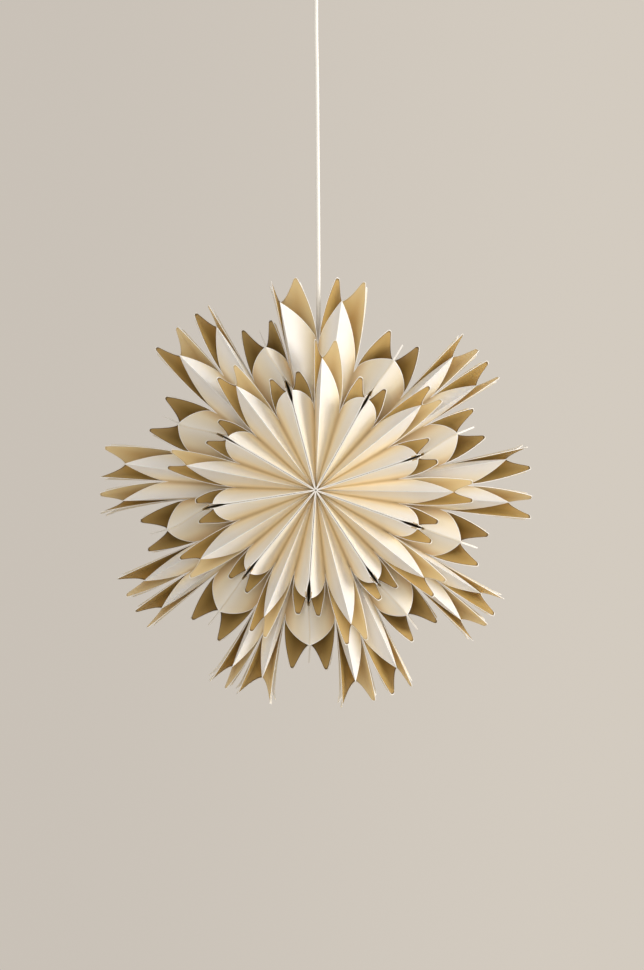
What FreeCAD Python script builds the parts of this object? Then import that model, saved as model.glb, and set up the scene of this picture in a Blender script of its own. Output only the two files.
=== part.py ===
import FreeCAD
import Part
import Sketcher
import math
import os

# A folded paper star that hangs on its cord under a ceiling canopy. Millimetres and degrees.
# +Z is up, the ceiling is the plane Z = 0, the cord runs down the Z axis, and the star faces -Y.
# Azimuths are read clockwise from the top, as the star is seen from the front.

# Driving dimensions. A height ending in _up is measured up from the centre of the star.
SIZES = {
    "star_drop": 650,
    "paper": 0.5,
    # Ceiling bracket, hook and the hanger that carries the cord
    "bracket_half_length": 28,
    "bracket_half_width": 9,
    "bracket_thick": 2,
    "screw_half_spacing": 22,
    "screw_hole_radius": 2.25,
    "hook_wire_radius": 1.75,
    "hook_radius": 9,
    "hook_centre_drop": 19,
    "eye_radius": 5.5,
    "eye_wire_radius": 1.5,
    "eye_centre_drop": 30.2,
    "rivet_thick": 1.2,
    "hanger_radius": 6,
    "hanger_bottom_drop": 56,
    "hanger_height": 19.5,
    "hanger_bore_depth": 12,
    "hanger_screw_up": 4,
    "window_half_width": 2.5,
    "window_height": 5,
    "window_up": 8.5,
    "bore_play": 0.1,
    # Terminal block and its leads
    "block_length": 9,
    "block_half_width": 8,
    "block_height": 17,
    "block_start": 18,
    "block_top_drop": 6,
    "terminal_half_pitch": 4,
    "terminal_hole_radius": 1.3,
    "terminal_hole_in": 4,
    "terminal_screw_radius": 1.6,
    "terminal_screw_length": 3,
    "terminal_screw_in": 5.5,
    "terminal_screw_down": 8,
    "lead_radius": 0.9,
    "lead_half_pitch": 1.1,
    "lead_start": 2.9,
    "lead_start_drop": 45.8,
    "lead_reach": 11,
    "lead_bow_drop": 42.8,
    "lead_bow_in": 3,
    "lead_straight": 10,
    "lead_bend": 2,
    # Canopy and its grip
    "canopy_mouth_radius": 43,
    "canopy_floor_radius": 37,
    "canopy_height": 61,
    "canopy_bottom_drop": 61.5,
    "canopy_wall": 1.2,
    "canopy_corner": 9,
    "canopy_hole_radius": 6.1,
    "grip_stem_radius": 6,
    "grip_collar_radius": 8.5,
    "grip_collar_height": 10,
    "grip_stem_height": 5,
    "grip_bore_radius": 2.85,
    "grip_screw_up": 5,
    "set_screw_radius": 1.5,
    # Cord
    "cord_radius": 2.5,
    "cord_top_drop": 47,
    "swing_drop": 155,
    "swing_half_gap": 0.25,
    "cord_end_up": 50,
    # Lampholder
    "skirt_bottom_up": 3,
    "skirt_height": 37,
    "skirt_radius": 14,
    "skirt_wall": 1.4,
    "cap_height": 18,
    "cap_radius": 15,
    "cap_top_radius": 6.5,
    "cap_wall": 1.6,
    "cap_shoulder": 6,
    "nut_radius": 4.6,
    "nut_height": 8,
    "shade_ring_radius": 19.5,
    "shade_ring_height": 6,
    "carrier_bottom_up": 24,
    "carrier_thick": 1.5,
    "thread_play": 0.1,
    "core_bottom_up": 8,
    "core_height": 27,
    "core_radius": 12.4,
    "core_well_depth": 18,
    "shell_radius": 7.5,
    "shell_wall": 0.4,
    "shell_bottom_up": 7,
    "shell_height": 16,
    "contact_radius": 2.2,
    "contact_bottom_up": 23.3,
    "contact_height": 2.7,
    # Bulb
    "globe_radius": 22.5,
    "globe_wall": 1.2,
    "globe_centre_down": 29,
    "neck_down": 10,
    "collar_height": 16,
    "collar_bottom_radius": 12,
    "collar_top_radius": 8,
    "bulb_cap_height": 15,
    "bulb_cap_radius": 6.75,
    "bulb_tip_height": 2,
    "bulb_tip_radius": 2.4,
    # Wire arms that hold the star up on the lampholder
    "carrier_radius": 22.5,
    "arm_radius": 1.2,
    "arm_reach": 34,
    "arm_top_up": 62.5,
    "arm_start": 21,
    "arm_bend": 5,
    "crossbar_half": 9,
    # Clips that close the star at its first seam
    "clip_length": 6,
    "clip_wall": 0.6,
    "clip_slot": 1.4,
    "clip_start": 62.8,
    "clip_slot_start": 63.9,
    # Paper cells: depths are in front of the star's middle plane, radii are from its axis
    "front_depth": 115,
    "front_valley_depth": 92,
    "middle_depth": 69,
    "rear_valley_depth": 52,
    "spine_radius": 9,
    "waist_radius": 24,
    "chamber_radius": 64,
    "front_valley_radius": 90,
    "front_side_tip": 112,
    "front_side_ear": 138,
    "front_centre_tip": 148,
    "front_centre_ear": 172,
    "rear_valley_radius": 142,
    "rear_side_tip": 172,
    "rear_side_ear": 204,
    "rear_pair_valley_radius": 167,
    "rear_pair_tip": 217,
    "rear_pair_ear": 249,
    "seam_half_gap": 0.15,
}

# How far round the star's leaves, their joins and their pointed pairs lie
SEAMS = (-16.5, 29.5, 69.8, 109.5, 143.5, 183.2, 219.8, 258.4, 298.2)
CENTRES = (1.2, 51.0, 89.5, 128.0, 163.6, 201.2, 238.3, 277.4, 321.6)
PAIR_SPREADS = (18.9, 11.2, 12.8, 9.5, 13.0, 9.7, 10.5, 10.5, 13.7)
LEAF_COUNT = len(SEAMS)
FULL_TURN = 360.0

# Where the front valleys of a leaf lie, as a share of the way from its centre to its seam
FRONT_VALLEY_SHARE = 0.44
# Where the valley beside a pair lies, as a share of the way from the pair's ridge to the seam
PAIR_VALLEY_SHARE = 0.2
# Where an ear stands on its rear wall, as a share of the way from the valley to the crease
FRONT_SIDE_EAR_SHARE = 0.46
FRONT_CENTRE_EAR_SHARE = 0.62
REAR_SIDE_EAR_SHARE = 0.59
PAIR_EAR_SHARE = 0.5
# Degrees from a pointed cell's ridge out to its two ears
PAIR_OUTER_EAR = 2.9
PAIR_INNER_EAR = 3.5
# The cut edge bulges by these powers: arch of the near wall, rise and fall of the ear
ARCH_POWER = 0.75
RISE_POWER = 0.77
FALL_POWER = 0.9
ARCH_STEPS = 5
EAR_STEPS = 3
# A ruled face joins its two edges in the directions that they are given in
AS_GIVEN = 1
# A fold is at most this many papers thick, however sharp it is
MITRE_LIMIT = 2.5
# The walls' slopes are taken at this share of the way out to the cut edge
SLOPE_SHARE = 0.6
# Depths of the closing clips behind the star's middle plane
CLIP_DEPTHS = (-32, -18, 18, 32)
# Degrees round the hook's bow, from its right side: its low point's half way mark and its open end
HOOK_BOW_MARK = -125
HOOK_END = -160

doc = FreeCAD.newDocument("paper_star_pendant")
sheet = doc.addObject("Spreadsheet::Sheet", "sizes")
pieces = []


# ---------------------------------------------------------------- sheet and expressions

def fill_sheet():
    """Writes every driving dimension to a cell of its own, with its name as alias."""
    cells = dict(SIZES)
    for number in range(LEAF_COUNT):
        cells[f"seam_{number + 1}"] = SEAMS[number]
        cells[f"centre_{number + 1}"] = CENTRES[number]
        cells[f"spread_{number + 1}"] = PAIR_SPREADS[number]
    for row, (alias, amount) in enumerate(cells.items(), start=1):
        sheet.set(f"A{row}", alias)
        sheet.set(f"B{row}", str(amount))
        sheet.setAlias(f"B{row}", alias)
    doc.recompute()


def size(alias):
    """The number that the sheet holds for an alias."""
    return float(getattr(sheet, alias))


def value(text):
    """The number that a sum of aliases and numbers, such as "a + b - 2", stands for."""
    total = 0.0
    sign = 1
    for word in text.split():
        if word in "+-":
            sign = -1 if word == "-" else 1
            continue
        total += sign * (size(word) if word in SIZES else float(word))
    return total


def bound(text):
    """The same sum as an expression that reads the sheet."""
    return " ".join(f"sizes.{word}" if word in SIZES else word for word in text.split())


def bind(item, **sums):
    """Binds properties of an object to sums; a place is given as x, y or z."""
    for name, text in sums.items():
        path = f"Placement.Base.{name}" if name in "xyz" else name
        item.setExpression(path, bound(text))
    return item


def finish(item, name):
    """Marks an object as a sub-part, which is written to a file of its own."""
    item.Label = name
    pieces.append(item)
    return item


# ---------------------------------------------------------------- plain solids

def cylinder(name, radius, height, **place):
    item = doc.addObject("Part::Cylinder", name)
    return bind(item, Radius=radius, Height=height, **place)


def lying_cylinder(name, radius, height, axis, **place):
    """A cylinder that lies along axis."""
    item = doc.addObject("Part::Cylinder", name)
    turn = FreeCAD.Rotation(FreeCAD.Vector(0, 0, 1), axis)
    item.Placement = FreeCAD.Placement(FreeCAD.Vector(), turn)
    return bind(item, Radius=radius, Height=height, **place)


def box(name, length, width, height, **place):
    item = doc.addObject("Part::Box", name)
    return bind(item, Length=length, Width=width, Height=height, **place)


def cut(name, base, tool):
    item = doc.addObject("Part::Cut", name)
    item.Base = base
    item.Tool = tool
    return item


def joined(name, shapes):
    item = doc.addObject("Part::MultiFuse", name)
    item.Shapes = shapes
    return item


def formed(name, shape):
    """An object for a shape that is built from the sheet's numbers below."""
    item = doc.addObject("Part::Feature", name)
    item.Shape = shape
    item.Placement = FreeCAD.Placement()
    return item


def constrain_corner(sketch, line, direction, text):
    """Fixes one coordinate of a line's first point at a sum, or on the axis where it is 0."""
    if text == "0":
        axis = -2 if direction == "DistanceX" else -1
        sketch.addConstraint(Sketcher.Constraint("PointOnObject", line, 1, axis))
        return
    number = sketch.addConstraint(Sketcher.Constraint(direction, -1, 1, line, 1, value(text)))
    label = f"{direction}{line}"
    sketch.renameConstraint(number, label)
    sketch.setExpression(f"Constraints.{label}", bound(text))


def turned(name, bottom, corners, rounds=()):
    """A turned body. corners are (radius, height above bottom) sums, rounds are (corner, radius)."""
    body = doc.addObject("PartDesign::Body", name)
    sketch = body.newObject("Sketcher::SketchObject", f"{name}_profile")
    plane = next(f for f in body.Origin.OriginFeatures if f.Role == "XZ_Plane")
    sketch.AttachmentSupport = (plane, [""])
    sketch.MapMode = "FlatFace"
    points = [FreeCAD.Vector(value(r), value(up), 0) for r, up in corners]
    count = len(points)
    for i in range(count):
        sketch.addGeometry(Part.LineSegment(points[i], points[(i + 1) % count]), False)
    for i in range(count):
        sketch.addConstraint(Sketcher.Constraint("Coincident", i, 2, (i + 1) % count, 1))
    for i, (radius, up) in enumerate(corners):
        constrain_corner(sketch, i, "DistanceX", radius)
        constrain_corner(sketch, i, "DistanceY", up)
    turning = body.newObject("PartDesign::Revolution", f"{name}_turning")
    turning.Profile = sketch
    turning.ReferenceAxis = (sketch, ["V_Axis"])
    turning.Angle = FULL_TURN
    bind(body, z=bottom)
    for corner, radius in rounds:
        round_corner(body, points[corner], radius)
    return body


def round_corner(body, corner, radius):
    """Rounds the circular edge that a corner of the profile swept."""
    doc.recompute()
    base = body.Tip
    offset = body.Placement.Base.z
    edges = [
        f"Edge{i}" for i, edge in enumerate(base.Shape.Edges, start=1)
        if isinstance(edge.Curve, Part.Circle)
        and abs(edge.Curve.Radius - corner.x) < 1e-4
        and min(abs(edge.Curve.Center.z - corner.y), abs(edge.Curve.Center.z - corner.y - offset)) < 1e-4
    ]
    fillet = body.newObject("PartDesign::Fillet", f"{body.Name}_round")
    fillet.Base = (base, edges)
    bind(fillet, Radius=radius)


def rounded_path(points, bend):
    """A wire of straight runs joined by tangent arcs of one radius."""
    points = [FreeCAD.Vector(*p) for p in points]
    edges = []
    start = points[0]
    for before, corner, after in zip(points, points[1:], points[2:]):
        back = (before - corner).normalize()
        ahead = (after - corner).normalize()
        reach = bend / math.tan(back.getAngle(ahead) / 2)
        middle = (back + ahead).normalize()
        depth = math.hypot(reach, bend) - bend
        first = corner + back * reach
        last = corner + ahead * reach
        edges.append(Part.LineSegment(start, first).toShape())
        edges.append(Part.Arc(first, corner + middle * depth, last).toShape())
        start = last
    edges.append(Part.LineSegment(start, points[-1]).toShape())
    return Part.Wire(edges)


def rod(points, radius, bend):
    """A round rod or wire along a bent path."""
    path = rounded_path(points, bend)
    first = path.Edges[0]
    along = first.tangentAt(first.FirstParameter)
    ring = Part.Wire(Part.makeCircle(radius, path.OrderedVertexes[0].Point, along))
    return path.makePipeShell([ring], True, True)


# ---------------------------------------------------------------- ceiling fitting

def ceiling_bracket():
    """A steel strip with round ends and two screw holes; its top face meets the ceiling."""
    span = "bracket_half_length - bracket_half_width"
    strip = box("strip", f"{span} + {span}", "bracket_half_width + bracket_half_width", "bracket_thick",
                x="bracket_half_width - bracket_half_length", y="0 - bracket_half_width",
                z="0 - bracket_thick")
    ends = [
        cylinder(f"strip_end_{side}", "bracket_half_width", "bracket_thick",
                 x=f"0 {sign} bracket_half_length {other} bracket_half_width", z="0 - bracket_thick")
        for side, sign, other in (("left", "-", "+"), ("right", "+", "-"))
    ]
    holes = [
        cylinder(f"screw_hole_{side}", "screw_hole_radius", "bracket_thick + 2",
                 x=f"0 {sign} screw_half_spacing", z="-1 - bracket_thick")
        for side, sign in (("left", "-"), ("right", "+"))
    ]
    blank = joined("bracket_blank", [strip] + ends)
    finish(cut("bracket", blank, joined("screw_holes", holes)), "ceiling_bracket")


def ceiling_hook():
    """A wire hook, riveted under the bracket, that opens to the left."""
    radius = size("hook_radius")
    middle = -size("hook_centre_drop")

    def on_bow(degrees):
        turn = math.radians(degrees)
        return FreeCAD.Vector(radius * math.cos(turn), 0, middle + radius * math.sin(turn))

    top, right, low = on_bow(90), on_bow(0), on_bow(-90)
    closing = Part.Arc(low, on_bow(HOOK_BOW_MARK), on_bow(HOOK_END))
    wire = Part.Wire([Part.Arc(top, right, low).toShape(), closing.toShape()])
    ring = Part.Wire(Part.makeCircle(size("hook_wire_radius"), top, FreeCAD.Vector(1, 0, 0)))
    bow = formed("hook_bow", wire.makePipeShell([ring], True, True))
    stem = cylinder("hook_stem", "hook_wire_radius", "hook_centre_drop - hook_radius - bracket_thick",
                    z="hook_radius - hook_centre_drop")
    flange = cylinder("hook_flange", "eye_radius", "rivet_thick", z="0 - rivet_thick - bracket_thick")
    finish(joined("hook", [bow, stem, flange]), "ceiling_hook")


def cord_hanger():
    """The strain relief: an eye over the hook, and a sleeve that clamps the cord's top."""
    sleeve = turned("hanger_sleeve", "0 - hanger_bottom_drop", [
        ("cord_radius + bore_play", "0"),
        ("hanger_radius", "0"),
        ("hanger_radius", "hanger_height"),
        ("0", "hanger_height"),
        ("0", "hanger_bore_depth"),
        ("cord_radius + bore_play", "hanger_bore_depth"),
    ], rounds=[(2, "1.5")])
    eye = doc.addObject("Part::Torus", "hanger_eye")
    eye.Placement = FreeCAD.Placement(FreeCAD.Vector(), FreeCAD.Rotation(FreeCAD.Vector(0, 1, 0), 90))
    bind(eye, Radius1="eye_radius", Radius2="eye_wire_radius", z="0 - eye_centre_drop")
    window = box("lead_window", "hanger_radius + 1", "window_half_width + window_half_width",
                 "window_height", x="0", y="0 - window_half_width", z="window_up - hanger_bottom_drop")
    hole = lying_cylinder("hanger_screw_hole", "set_screw_radius", "hanger_radius",
                          FreeCAD.Vector(0, -1, 0), y="0", z="hanger_screw_up - hanger_bottom_drop")
    body = joined("hanger_body", [sleeve, eye])
    finish(cut("hanger", body, joined("hanger_cuts", [window, hole])), "cord_hanger")
    screw = lying_cylinder("hanger_set_screw", "set_screw_radius", "hanger_radius - cord_radius - bore_play",
                           FreeCAD.Vector(0, -1, 0), y="0 - cord_radius - bore_play",
                           z="hanger_screw_up - hanger_bottom_drop")
    finish(screw, "hanger_screw")


def terminal_block():
    """A two-pole block beside the hook, with a wire hole and a clamp screw for each pole."""
    block = box("block", "block_length", "block_half_width + block_half_width", "block_height",
                x="block_start", y="0 - block_half_width", z="0 - block_top_drop - block_height")
    tools = []
    screws = []
    for side, sign in (("front", "-"), ("rear", "+")):
        tools.append(cylinder(f"wire_hole_{side}", "terminal_hole_radius", "block_height + 2",
                              x="block_start + terminal_hole_in", y=f"0 {sign} terminal_half_pitch",
                              z="-1 - block_top_drop - block_height"))
        place = {
            "x": "block_start + terminal_screw_in",
            "y": f"0 {sign} terminal_half_pitch",
            "z": "0 - terminal_screw_down - block_top_drop",
        }
        across = FreeCAD.Vector(1, 0, 0)
        tools.append(lying_cylinder(f"screw_well_{side}", "terminal_screw_radius",
                                    "block_length", across, **place))
        screws.append(lying_cylinder(f"clamp_screw_{side}", "terminal_screw_radius",
                                     "terminal_screw_length", across, **place))
    finish(cut("drilled_block", block, joined("block_holes", tools)), "terminal_block")
    finish(joined("clamp_screws", screws), "terminal_screws")


def supply_leads():
    """Two short leads from the cord's top, through the hanger's window, up into the block."""
    start = -size("lead_start_drop")
    end = size("terminal_hole_in") - size("block_top_drop") - size("block_height")
    column = size("block_start") + size("terminal_hole_in")
    leads = []
    for sign in (-1, 1):
        near = size("lead_half_pitch") * sign
        far = size("terminal_half_pitch") * sign
        leads.append(rod([
            (size("lead_start"), near, start),
            (size("lead_reach"), near * 2, start),
            (column - size("lead_bow_in"), far, -size("lead_bow_drop")),
            (column, far, end - size("lead_straight")),
            (column, far, end),
        ], size("lead_radius"), size("lead_bend")))
    finish(formed("leads", Part.makeCompound(leads)), "supply_leads")


# ---------------------------------------------------------------- canopy and cord

def canopy():
    """A steel cup that hides the hook, and the grip that holds it up on the cord."""
    cup = turned("canopy_cup", "0 - canopy_bottom_drop", [
        ("canopy_hole_radius", "0"),
        ("canopy_floor_radius", "0"),
        ("canopy_mouth_radius", "canopy_height"),
        ("canopy_mouth_radius - canopy_wall", "canopy_height"),
        ("canopy_floor_radius - canopy_wall", "canopy_wall"),
        ("canopy_hole_radius", "canopy_wall"),
    ], rounds=[(1, "canopy_corner"), (4, "canopy_corner - canopy_wall")])
    finish(cup, "canopy")
    grip = turned("grip_turning", "0 - canopy_bottom_drop - grip_collar_height", [
        ("grip_bore_radius", "0"),
        ("grip_collar_radius", "0"),
        ("grip_collar_radius", "grip_collar_height"),
        ("grip_stem_radius", "grip_collar_height"),
        ("grip_stem_radius", "grip_collar_height + grip_stem_height"),
        ("grip_bore_radius", "grip_collar_height + grip_stem_height"),
    ], rounds=[(1, "1.5")])
    rear = FreeCAD.Vector(0, 1, 0)
    place = {
        "y": "grip_bore_radius",
        "z": "grip_screw_up - canopy_bottom_drop - grip_collar_height",
    }
    hole = lying_cylinder("grip_screw_hole", "set_screw_radius", "grip_collar_radius", rear, **place)
    finish(cut("grip", grip, hole), "canopy_grip")
    screw = lying_cylinder("grip_set_screw", "set_screw_radius",
                           "grip_collar_radius - grip_bore_radius", rear, **place)
    finish(screw, "canopy_screw")


def cord():
    """One straight cord, in two lengths that meet where it bends as the star swings."""
    upper = cylinder("upper_run", "cord_radius", "swing_drop - swing_half_gap - cord_top_drop",
                     z="swing_half_gap - swing_drop")
    lower = cylinder("lower_run", "cord_radius", "star_drop - cord_end_up - swing_drop - swing_half_gap",
                     z="cord_end_up - star_drop")
    finish(upper, "cord_upper")
    finish(lower, "cord_lower")


# ---------------------------------------------------------------- lampholder and bulb

def lampholder():
    """The holder's shells, its nut and shade rings, and the insert with its contacts."""
    nut_bottom = "skirt_bottom_up + skirt_height + cap_height"
    finish(turned("skirt", "skirt_bottom_up - star_drop", [
        ("skirt_radius - skirt_wall", "0"),
        ("skirt_radius", "0"),
        ("skirt_radius", "skirt_height"),
        ("skirt_radius - skirt_wall", "skirt_height"),
    ]), "holder_skirt")
    finish(turned("cap", "skirt_bottom_up + skirt_height - star_drop", [
        ("cap_radius - cap_wall", "0"),
        ("cap_radius", "0"),
        ("cap_radius", "cap_shoulder"),
        ("cap_top_radius", "cap_height"),
        ("cord_radius + bore_play", "cap_height"),
        ("cord_radius + bore_play", "cap_height - cap_wall"),
        ("cap_top_radius - cap_wall", "cap_height - cap_wall"),
        ("cap_radius - cap_wall", "cap_shoulder - cap_wall"),
    ], rounds=[(2, "3")]), "holder_cap")
    finish(turned("nut", f"{nut_bottom} - star_drop", [
        ("cord_radius + bore_play", "0"),
        ("nut_radius", "0"),
        ("nut_radius", "nut_height"),
        ("cord_radius + bore_play", "nut_height"),
    ], rounds=[(2, "1")]), "cord_grip_nut")
    for name, bottom in (
        ("shade_ring_lower", "carrier_bottom_up - shade_ring_height - star_drop"),
        ("shade_ring_upper", "carrier_bottom_up + carrier_thick - star_drop"),
    ):
        finish(turned(f"{name}_turning", bottom, [
            ("skirt_radius + thread_play", "0"),
            ("shade_ring_radius", "0"),
            ("shade_ring_radius", "shade_ring_height"),
            ("skirt_radius + thread_play", "shade_ring_height"),
        ], rounds=[(1, "1"), (2, "1")]), name)
    finish(turned("core", "core_bottom_up - star_drop", [
        ("shell_radius", "0"),
        ("core_radius", "0"),
        ("core_radius", "core_height"),
        ("0", "core_height"),
        ("0", "core_well_depth"),
        ("shell_radius", "core_well_depth"),
    ]), "holder_core")
    finish(turned("shell", "shell_bottom_up - star_drop", [
        ("shell_radius - shell_wall", "0"),
        ("shell_radius", "0"),
        ("shell_radius", "shell_height"),
        ("shell_radius - shell_wall", "shell_height"),
    ]), "thread_shell")
    finish(cylinder("contact", "contact_radius", "contact_height", z="contact_bottom_up - star_drop"),
           "centre_contact")


def bulb():
    """A small round bulb, cap up, with its globe at the star's centre."""
    centre = "0 - star_drop - globe_centre_down"
    outer = doc.addObject("Part::Sphere", "globe_outer")
    inner = doc.addObject("Part::Sphere", "globe_inner")
    bind(outer, Radius="globe_radius", z=centre)
    bind(inner, Radius="globe_radius - globe_wall", z=centre)
    neck = cylinder("globe_neck_cut", "globe_radius", "globe_radius", z="0 - star_drop - neck_down")
    finish(cut("globe", outer, joined("globe_cuts", [inner, neck])), "bulb_globe")
    finish(turned("collar", "0 - star_drop - neck_down", [
        ("0", "0"),
        ("collar_bottom_radius", "0"),
        ("collar_top_radius", "collar_height"),
        ("0", "collar_height"),
    ]), "bulb_collar")
    cap_bottom = "collar_height - star_drop - neck_down"
    finish(cylinder("bulb_cap_turning", "bulb_cap_radius", "bulb_cap_height", z=cap_bottom), "bulb_cap")
    tip = doc.addObject("Part::Cone", "bulb_tip_turning")
    bind(tip, Radius1="bulb_tip_radius + 1", Radius2="bulb_tip_radius", Height="bulb_tip_height",
         z=f"{cap_bottom} + bulb_cap_height")
    finish(tip, "bulb_contact")


def star_carrier():
    """A washer between the shade rings, with two wire arms whose bars the star rests on."""
    level = size("carrier_bottom_up") + size("carrier_thick") / 2 - size("star_drop")
    top = size("arm_top_up") - size("star_drop")
    washer = turned("carrier_washer", "carrier_bottom_up - star_drop", [
        ("skirt_radius + thread_play", "0"),
        ("carrier_radius", "0"),
        ("carrier_radius", "carrier_thick"),
        ("skirt_radius + thread_play", "carrier_thick"),
    ])
    wires = []
    for sign in (-1, 1):
        reach = size("arm_reach") * sign
        inner = size("arm_start") * sign
        corners = [(0, inner, level), (0, reach, level), (0, reach, top)]
        arm = rod(corners, size("arm_radius"), size("arm_bend"))
        half = size("crossbar_half")
        bar = Part.makeCylinder(size("arm_radius"), 2 * half, FreeCAD.Vector(-half, reach, top),
                                FreeCAD.Vector(1, 0, 0))
        wires.append(formed(f"arm_{'front' if sign < 0 else 'rear'}", arm.fuse(bar)))
    bore = cylinder("carrier_bore", "skirt_radius + thread_play", "carrier_thick + 4",
                    z="carrier_bottom_up - star_drop - 2")
    finish(cut("carrier", joined("carrier_wires", [washer] + wires), bore), "star_carrier")


# ---------------------------------------------------------------- paper star

def blend(first, last, share):
    return first + (last - first) * share


def star_point(azimuth, radius, depth):
    """A point of the star: azimuth clockwise from the top, depth in front of the middle plane."""
    turn = math.radians(azimuth)
    up = radius * math.cos(turn) - size("star_drop")
    return FreeCAD.Vector(radius * math.sin(turn), -depth, up)


def inner_radius(depth):
    """How far from the axis the paper starts: the spine in front, the bulb's chamber behind."""
    steps = [
        (0, size("chamber_radius")),
        (size("rear_valley_depth"), size("chamber_radius")),
        (size("middle_depth"), size("waist_radius")),
        (size("front_valley_depth"), size("spine_radius")),
        (size("front_depth"), size("spine_radius")),
    ]
    for (near, first), (far, last) in zip(steps, steps[1:]):
        if depth <= far:
            return blend(first, last, (depth - near) / (far - near))
    return size("spine_radius")


def offset_azimuth(azimuth, radius, distance):
    """The azimuth of a line that runs beside the radial line, at a distance from it."""
    return azimuth + math.degrees(math.asin(distance / radius))


class Ruling:
    """A straight line of the paper: its azimuths near the axis and at the cut edge, the distance
    of the edge from the axis, and its depth."""

    def __init__(self, inner, outer, radius, depth):
        self.inner = inner
        self.outer = outer
        self.radius = radius
        self.depth = depth

    def section(self, step):
        """The corners of the paper's section along the line, thickened by a step."""
        start = star_point(self.inner, inner_radius(self.depth), self.depth)
        end = star_point(self.outer, self.radius, self.depth)
        return [start, end, end + step, start + step]


def fold(azimuth, radius, depth, shift=0.0):
    """A ruling along a radial line, or beside it at a distance."""
    inner = offset_azimuth(azimuth, inner_radius(depth), shift)
    return Ruling(inner, offset_azimuth(azimuth, radius, shift), radius, depth)


def wall_normals(rulings):
    """The unit normals into the cell of the walls between each ruling and the next, and last the
    wall back to the first, as (clockwise, forward) parts."""
    reach = SLOPE_SHARE * sum(line.radius for line in rulings) / len(rulings)
    places = [(math.radians(line.inner + line.outer) / 2 * reach, line.depth) for line in rulings]
    pairs = list(zip(places, places[1:] + places[:1]))
    turn = math.copysign(1, sum(x1 * y2 - x2 * y1 for (x1, y1), (x2, y2) in pairs))
    normals = []
    for (x1, y1), (x2, y2) in pairs:
        length = math.hypot(x2 - x1, y2 - y1)
        normals.append((turn * (y1 - y2) / length, turn * (x2 - x1) / length))
    return normals


def wall_sections(rulings, closed):
    """The paper's section at each ruling, as thick as the paper, and thicker where it is folded.
    A wall that isn't closed ends on its covers, so its end sections stay in their planes."""
    normals = wall_normals(rulings)
    paper = size("paper")
    sections = []
    for i, line in enumerate(rulings):
        before, after = normals[i - 1], normals[i]
        if not closed and i in (0, len(rulings) - 1):
            wall = after if i == 0 else before
            clockwise, forward = 0.0, paper / wall[1]
        else:
            across, ahead = before[0] + after[0], before[1] + after[1]
            length = math.hypot(across, ahead)
            mitre = min(MITRE_LIMIT, 2 / length) * paper / length
            clockwise, forward = across * mitre, ahead * mitre
        forward = max(-MITRE_LIMIT * paper, min(MITRE_LIMIT * paper, forward))
        turn = math.radians((line.inner + line.outer) / 2)
        step = FreeCAD.Vector(clockwise * math.cos(turn), -forward, -clockwise * math.sin(turn))
        sections.append(line.section(step))
    return sections


def folded_solid(sections):
    """A paper panel from its sections in order, with a ruled face between every two like edges."""
    faces = [Part.Face(Part.makePolygon(end + end[:1])) for end in (sections[0], sections[-1])]
    for first, last in zip(sections, sections[1:]):
        for i in range(len(first)):
            k = (i + 1) % len(first)
            edges = [Part.LineSegment(corners[i], corners[k]).toShape() for corners in (first, last)]
            faces.append(Part.makeRuledSurface(*edges, AS_GIVEN))
    shell = Part.Shell(faces)
    shell.sewShape()
    solid = Part.Solid(shell)
    return solid if solid.Volume > 0 else solid.reversed()


def half_cell(ridge, corner, crease, ear_azimuth, ear_radius, ear_share):
    """Rulings from the ridge round one side fold to the crease. The near wall ends in an arch,
    the far wall in a pointed ear."""
    rulings = []
    for i in range(ARCH_STEPS):
        share = i / ARCH_STEPS
        rulings.append(Ruling(
            blend(ridge.inner, corner.inner, share),
            blend(ridge.outer, corner.outer, share),
            corner.radius + (ridge.radius - corner.radius) * (1 - share) ** ARCH_POWER,
            blend(ridge.depth, corner.depth, share),
        ))
    rulings.append(corner)
    for i in range(1, EAR_STEPS + 1):
        share = i / EAR_STEPS
        way = share * ear_share
        rulings.append(Ruling(
            blend(corner.inner, crease.inner, way),
            blend(corner.outer, ear_azimuth, share),
            corner.radius + (ear_radius - corner.radius) * share ** RISE_POWER,
            blend(corner.depth, crease.depth, way),
        ))
    for i in range(1, EAR_STEPS + 1):
        share = i / EAR_STEPS
        way = ear_share + (1 - ear_share) * share
        rulings.append(Ruling(
            blend(corner.inner, crease.inner, way),
            blend(ear_azimuth, crease.outer, share),
            ear_radius - (ear_radius - crease.radius) * share ** FALL_POWER,
            blend(corner.depth, crease.depth, way),
        ))
    return rulings


def open_panels(rulings):
    """The near and the far panel of a half tube, which meet at its side fold."""
    sections = wall_sections(rulings, False)
    return [folded_solid(sections[:ARCH_STEPS + 1]), folded_solid(sections[ARCH_STEPS:])]


def closed_panels(left, right, bent_at_ears):
    """The panels of a whole tube, which meet at its folds, and at its ears where it bends there."""
    sections = wall_sections(right + left[::-1][1:-1], True)
    sections.append(sections[0])
    last = len(sections) - 1
    ear = ARCH_STEPS + EAR_STEPS
    middle = ear + EAR_STEPS
    folds = [0, ARCH_STEPS, ear, middle, last - ear, last - ARCH_STEPS, last]
    if not bent_at_ears:
        folds = [i for i in folds if i not in (ear, last - ear)]
    return [folded_solid(sections[first:end + 1]) for first, end in zip(folds, folds[1:])]


def side_cell(seam, side, valley, tip, ear, ear_share, depths):
    """The half tube that a leaf has along one of its covers."""
    near, middle, far = depths
    shift = side * -1 * (size("seam_half_gap") + size("paper"))
    ridge = fold(seam, tip, near, shift)
    crease = fold(seam, tip, far, shift)
    corner = fold(valley[0], valley[1], middle)
    ear_azimuth = blend(corner.outer, crease.outer, ear_share)
    return open_panels(half_cell(ridge, corner, crease, ear_azimuth, ear, ear_share))


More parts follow.
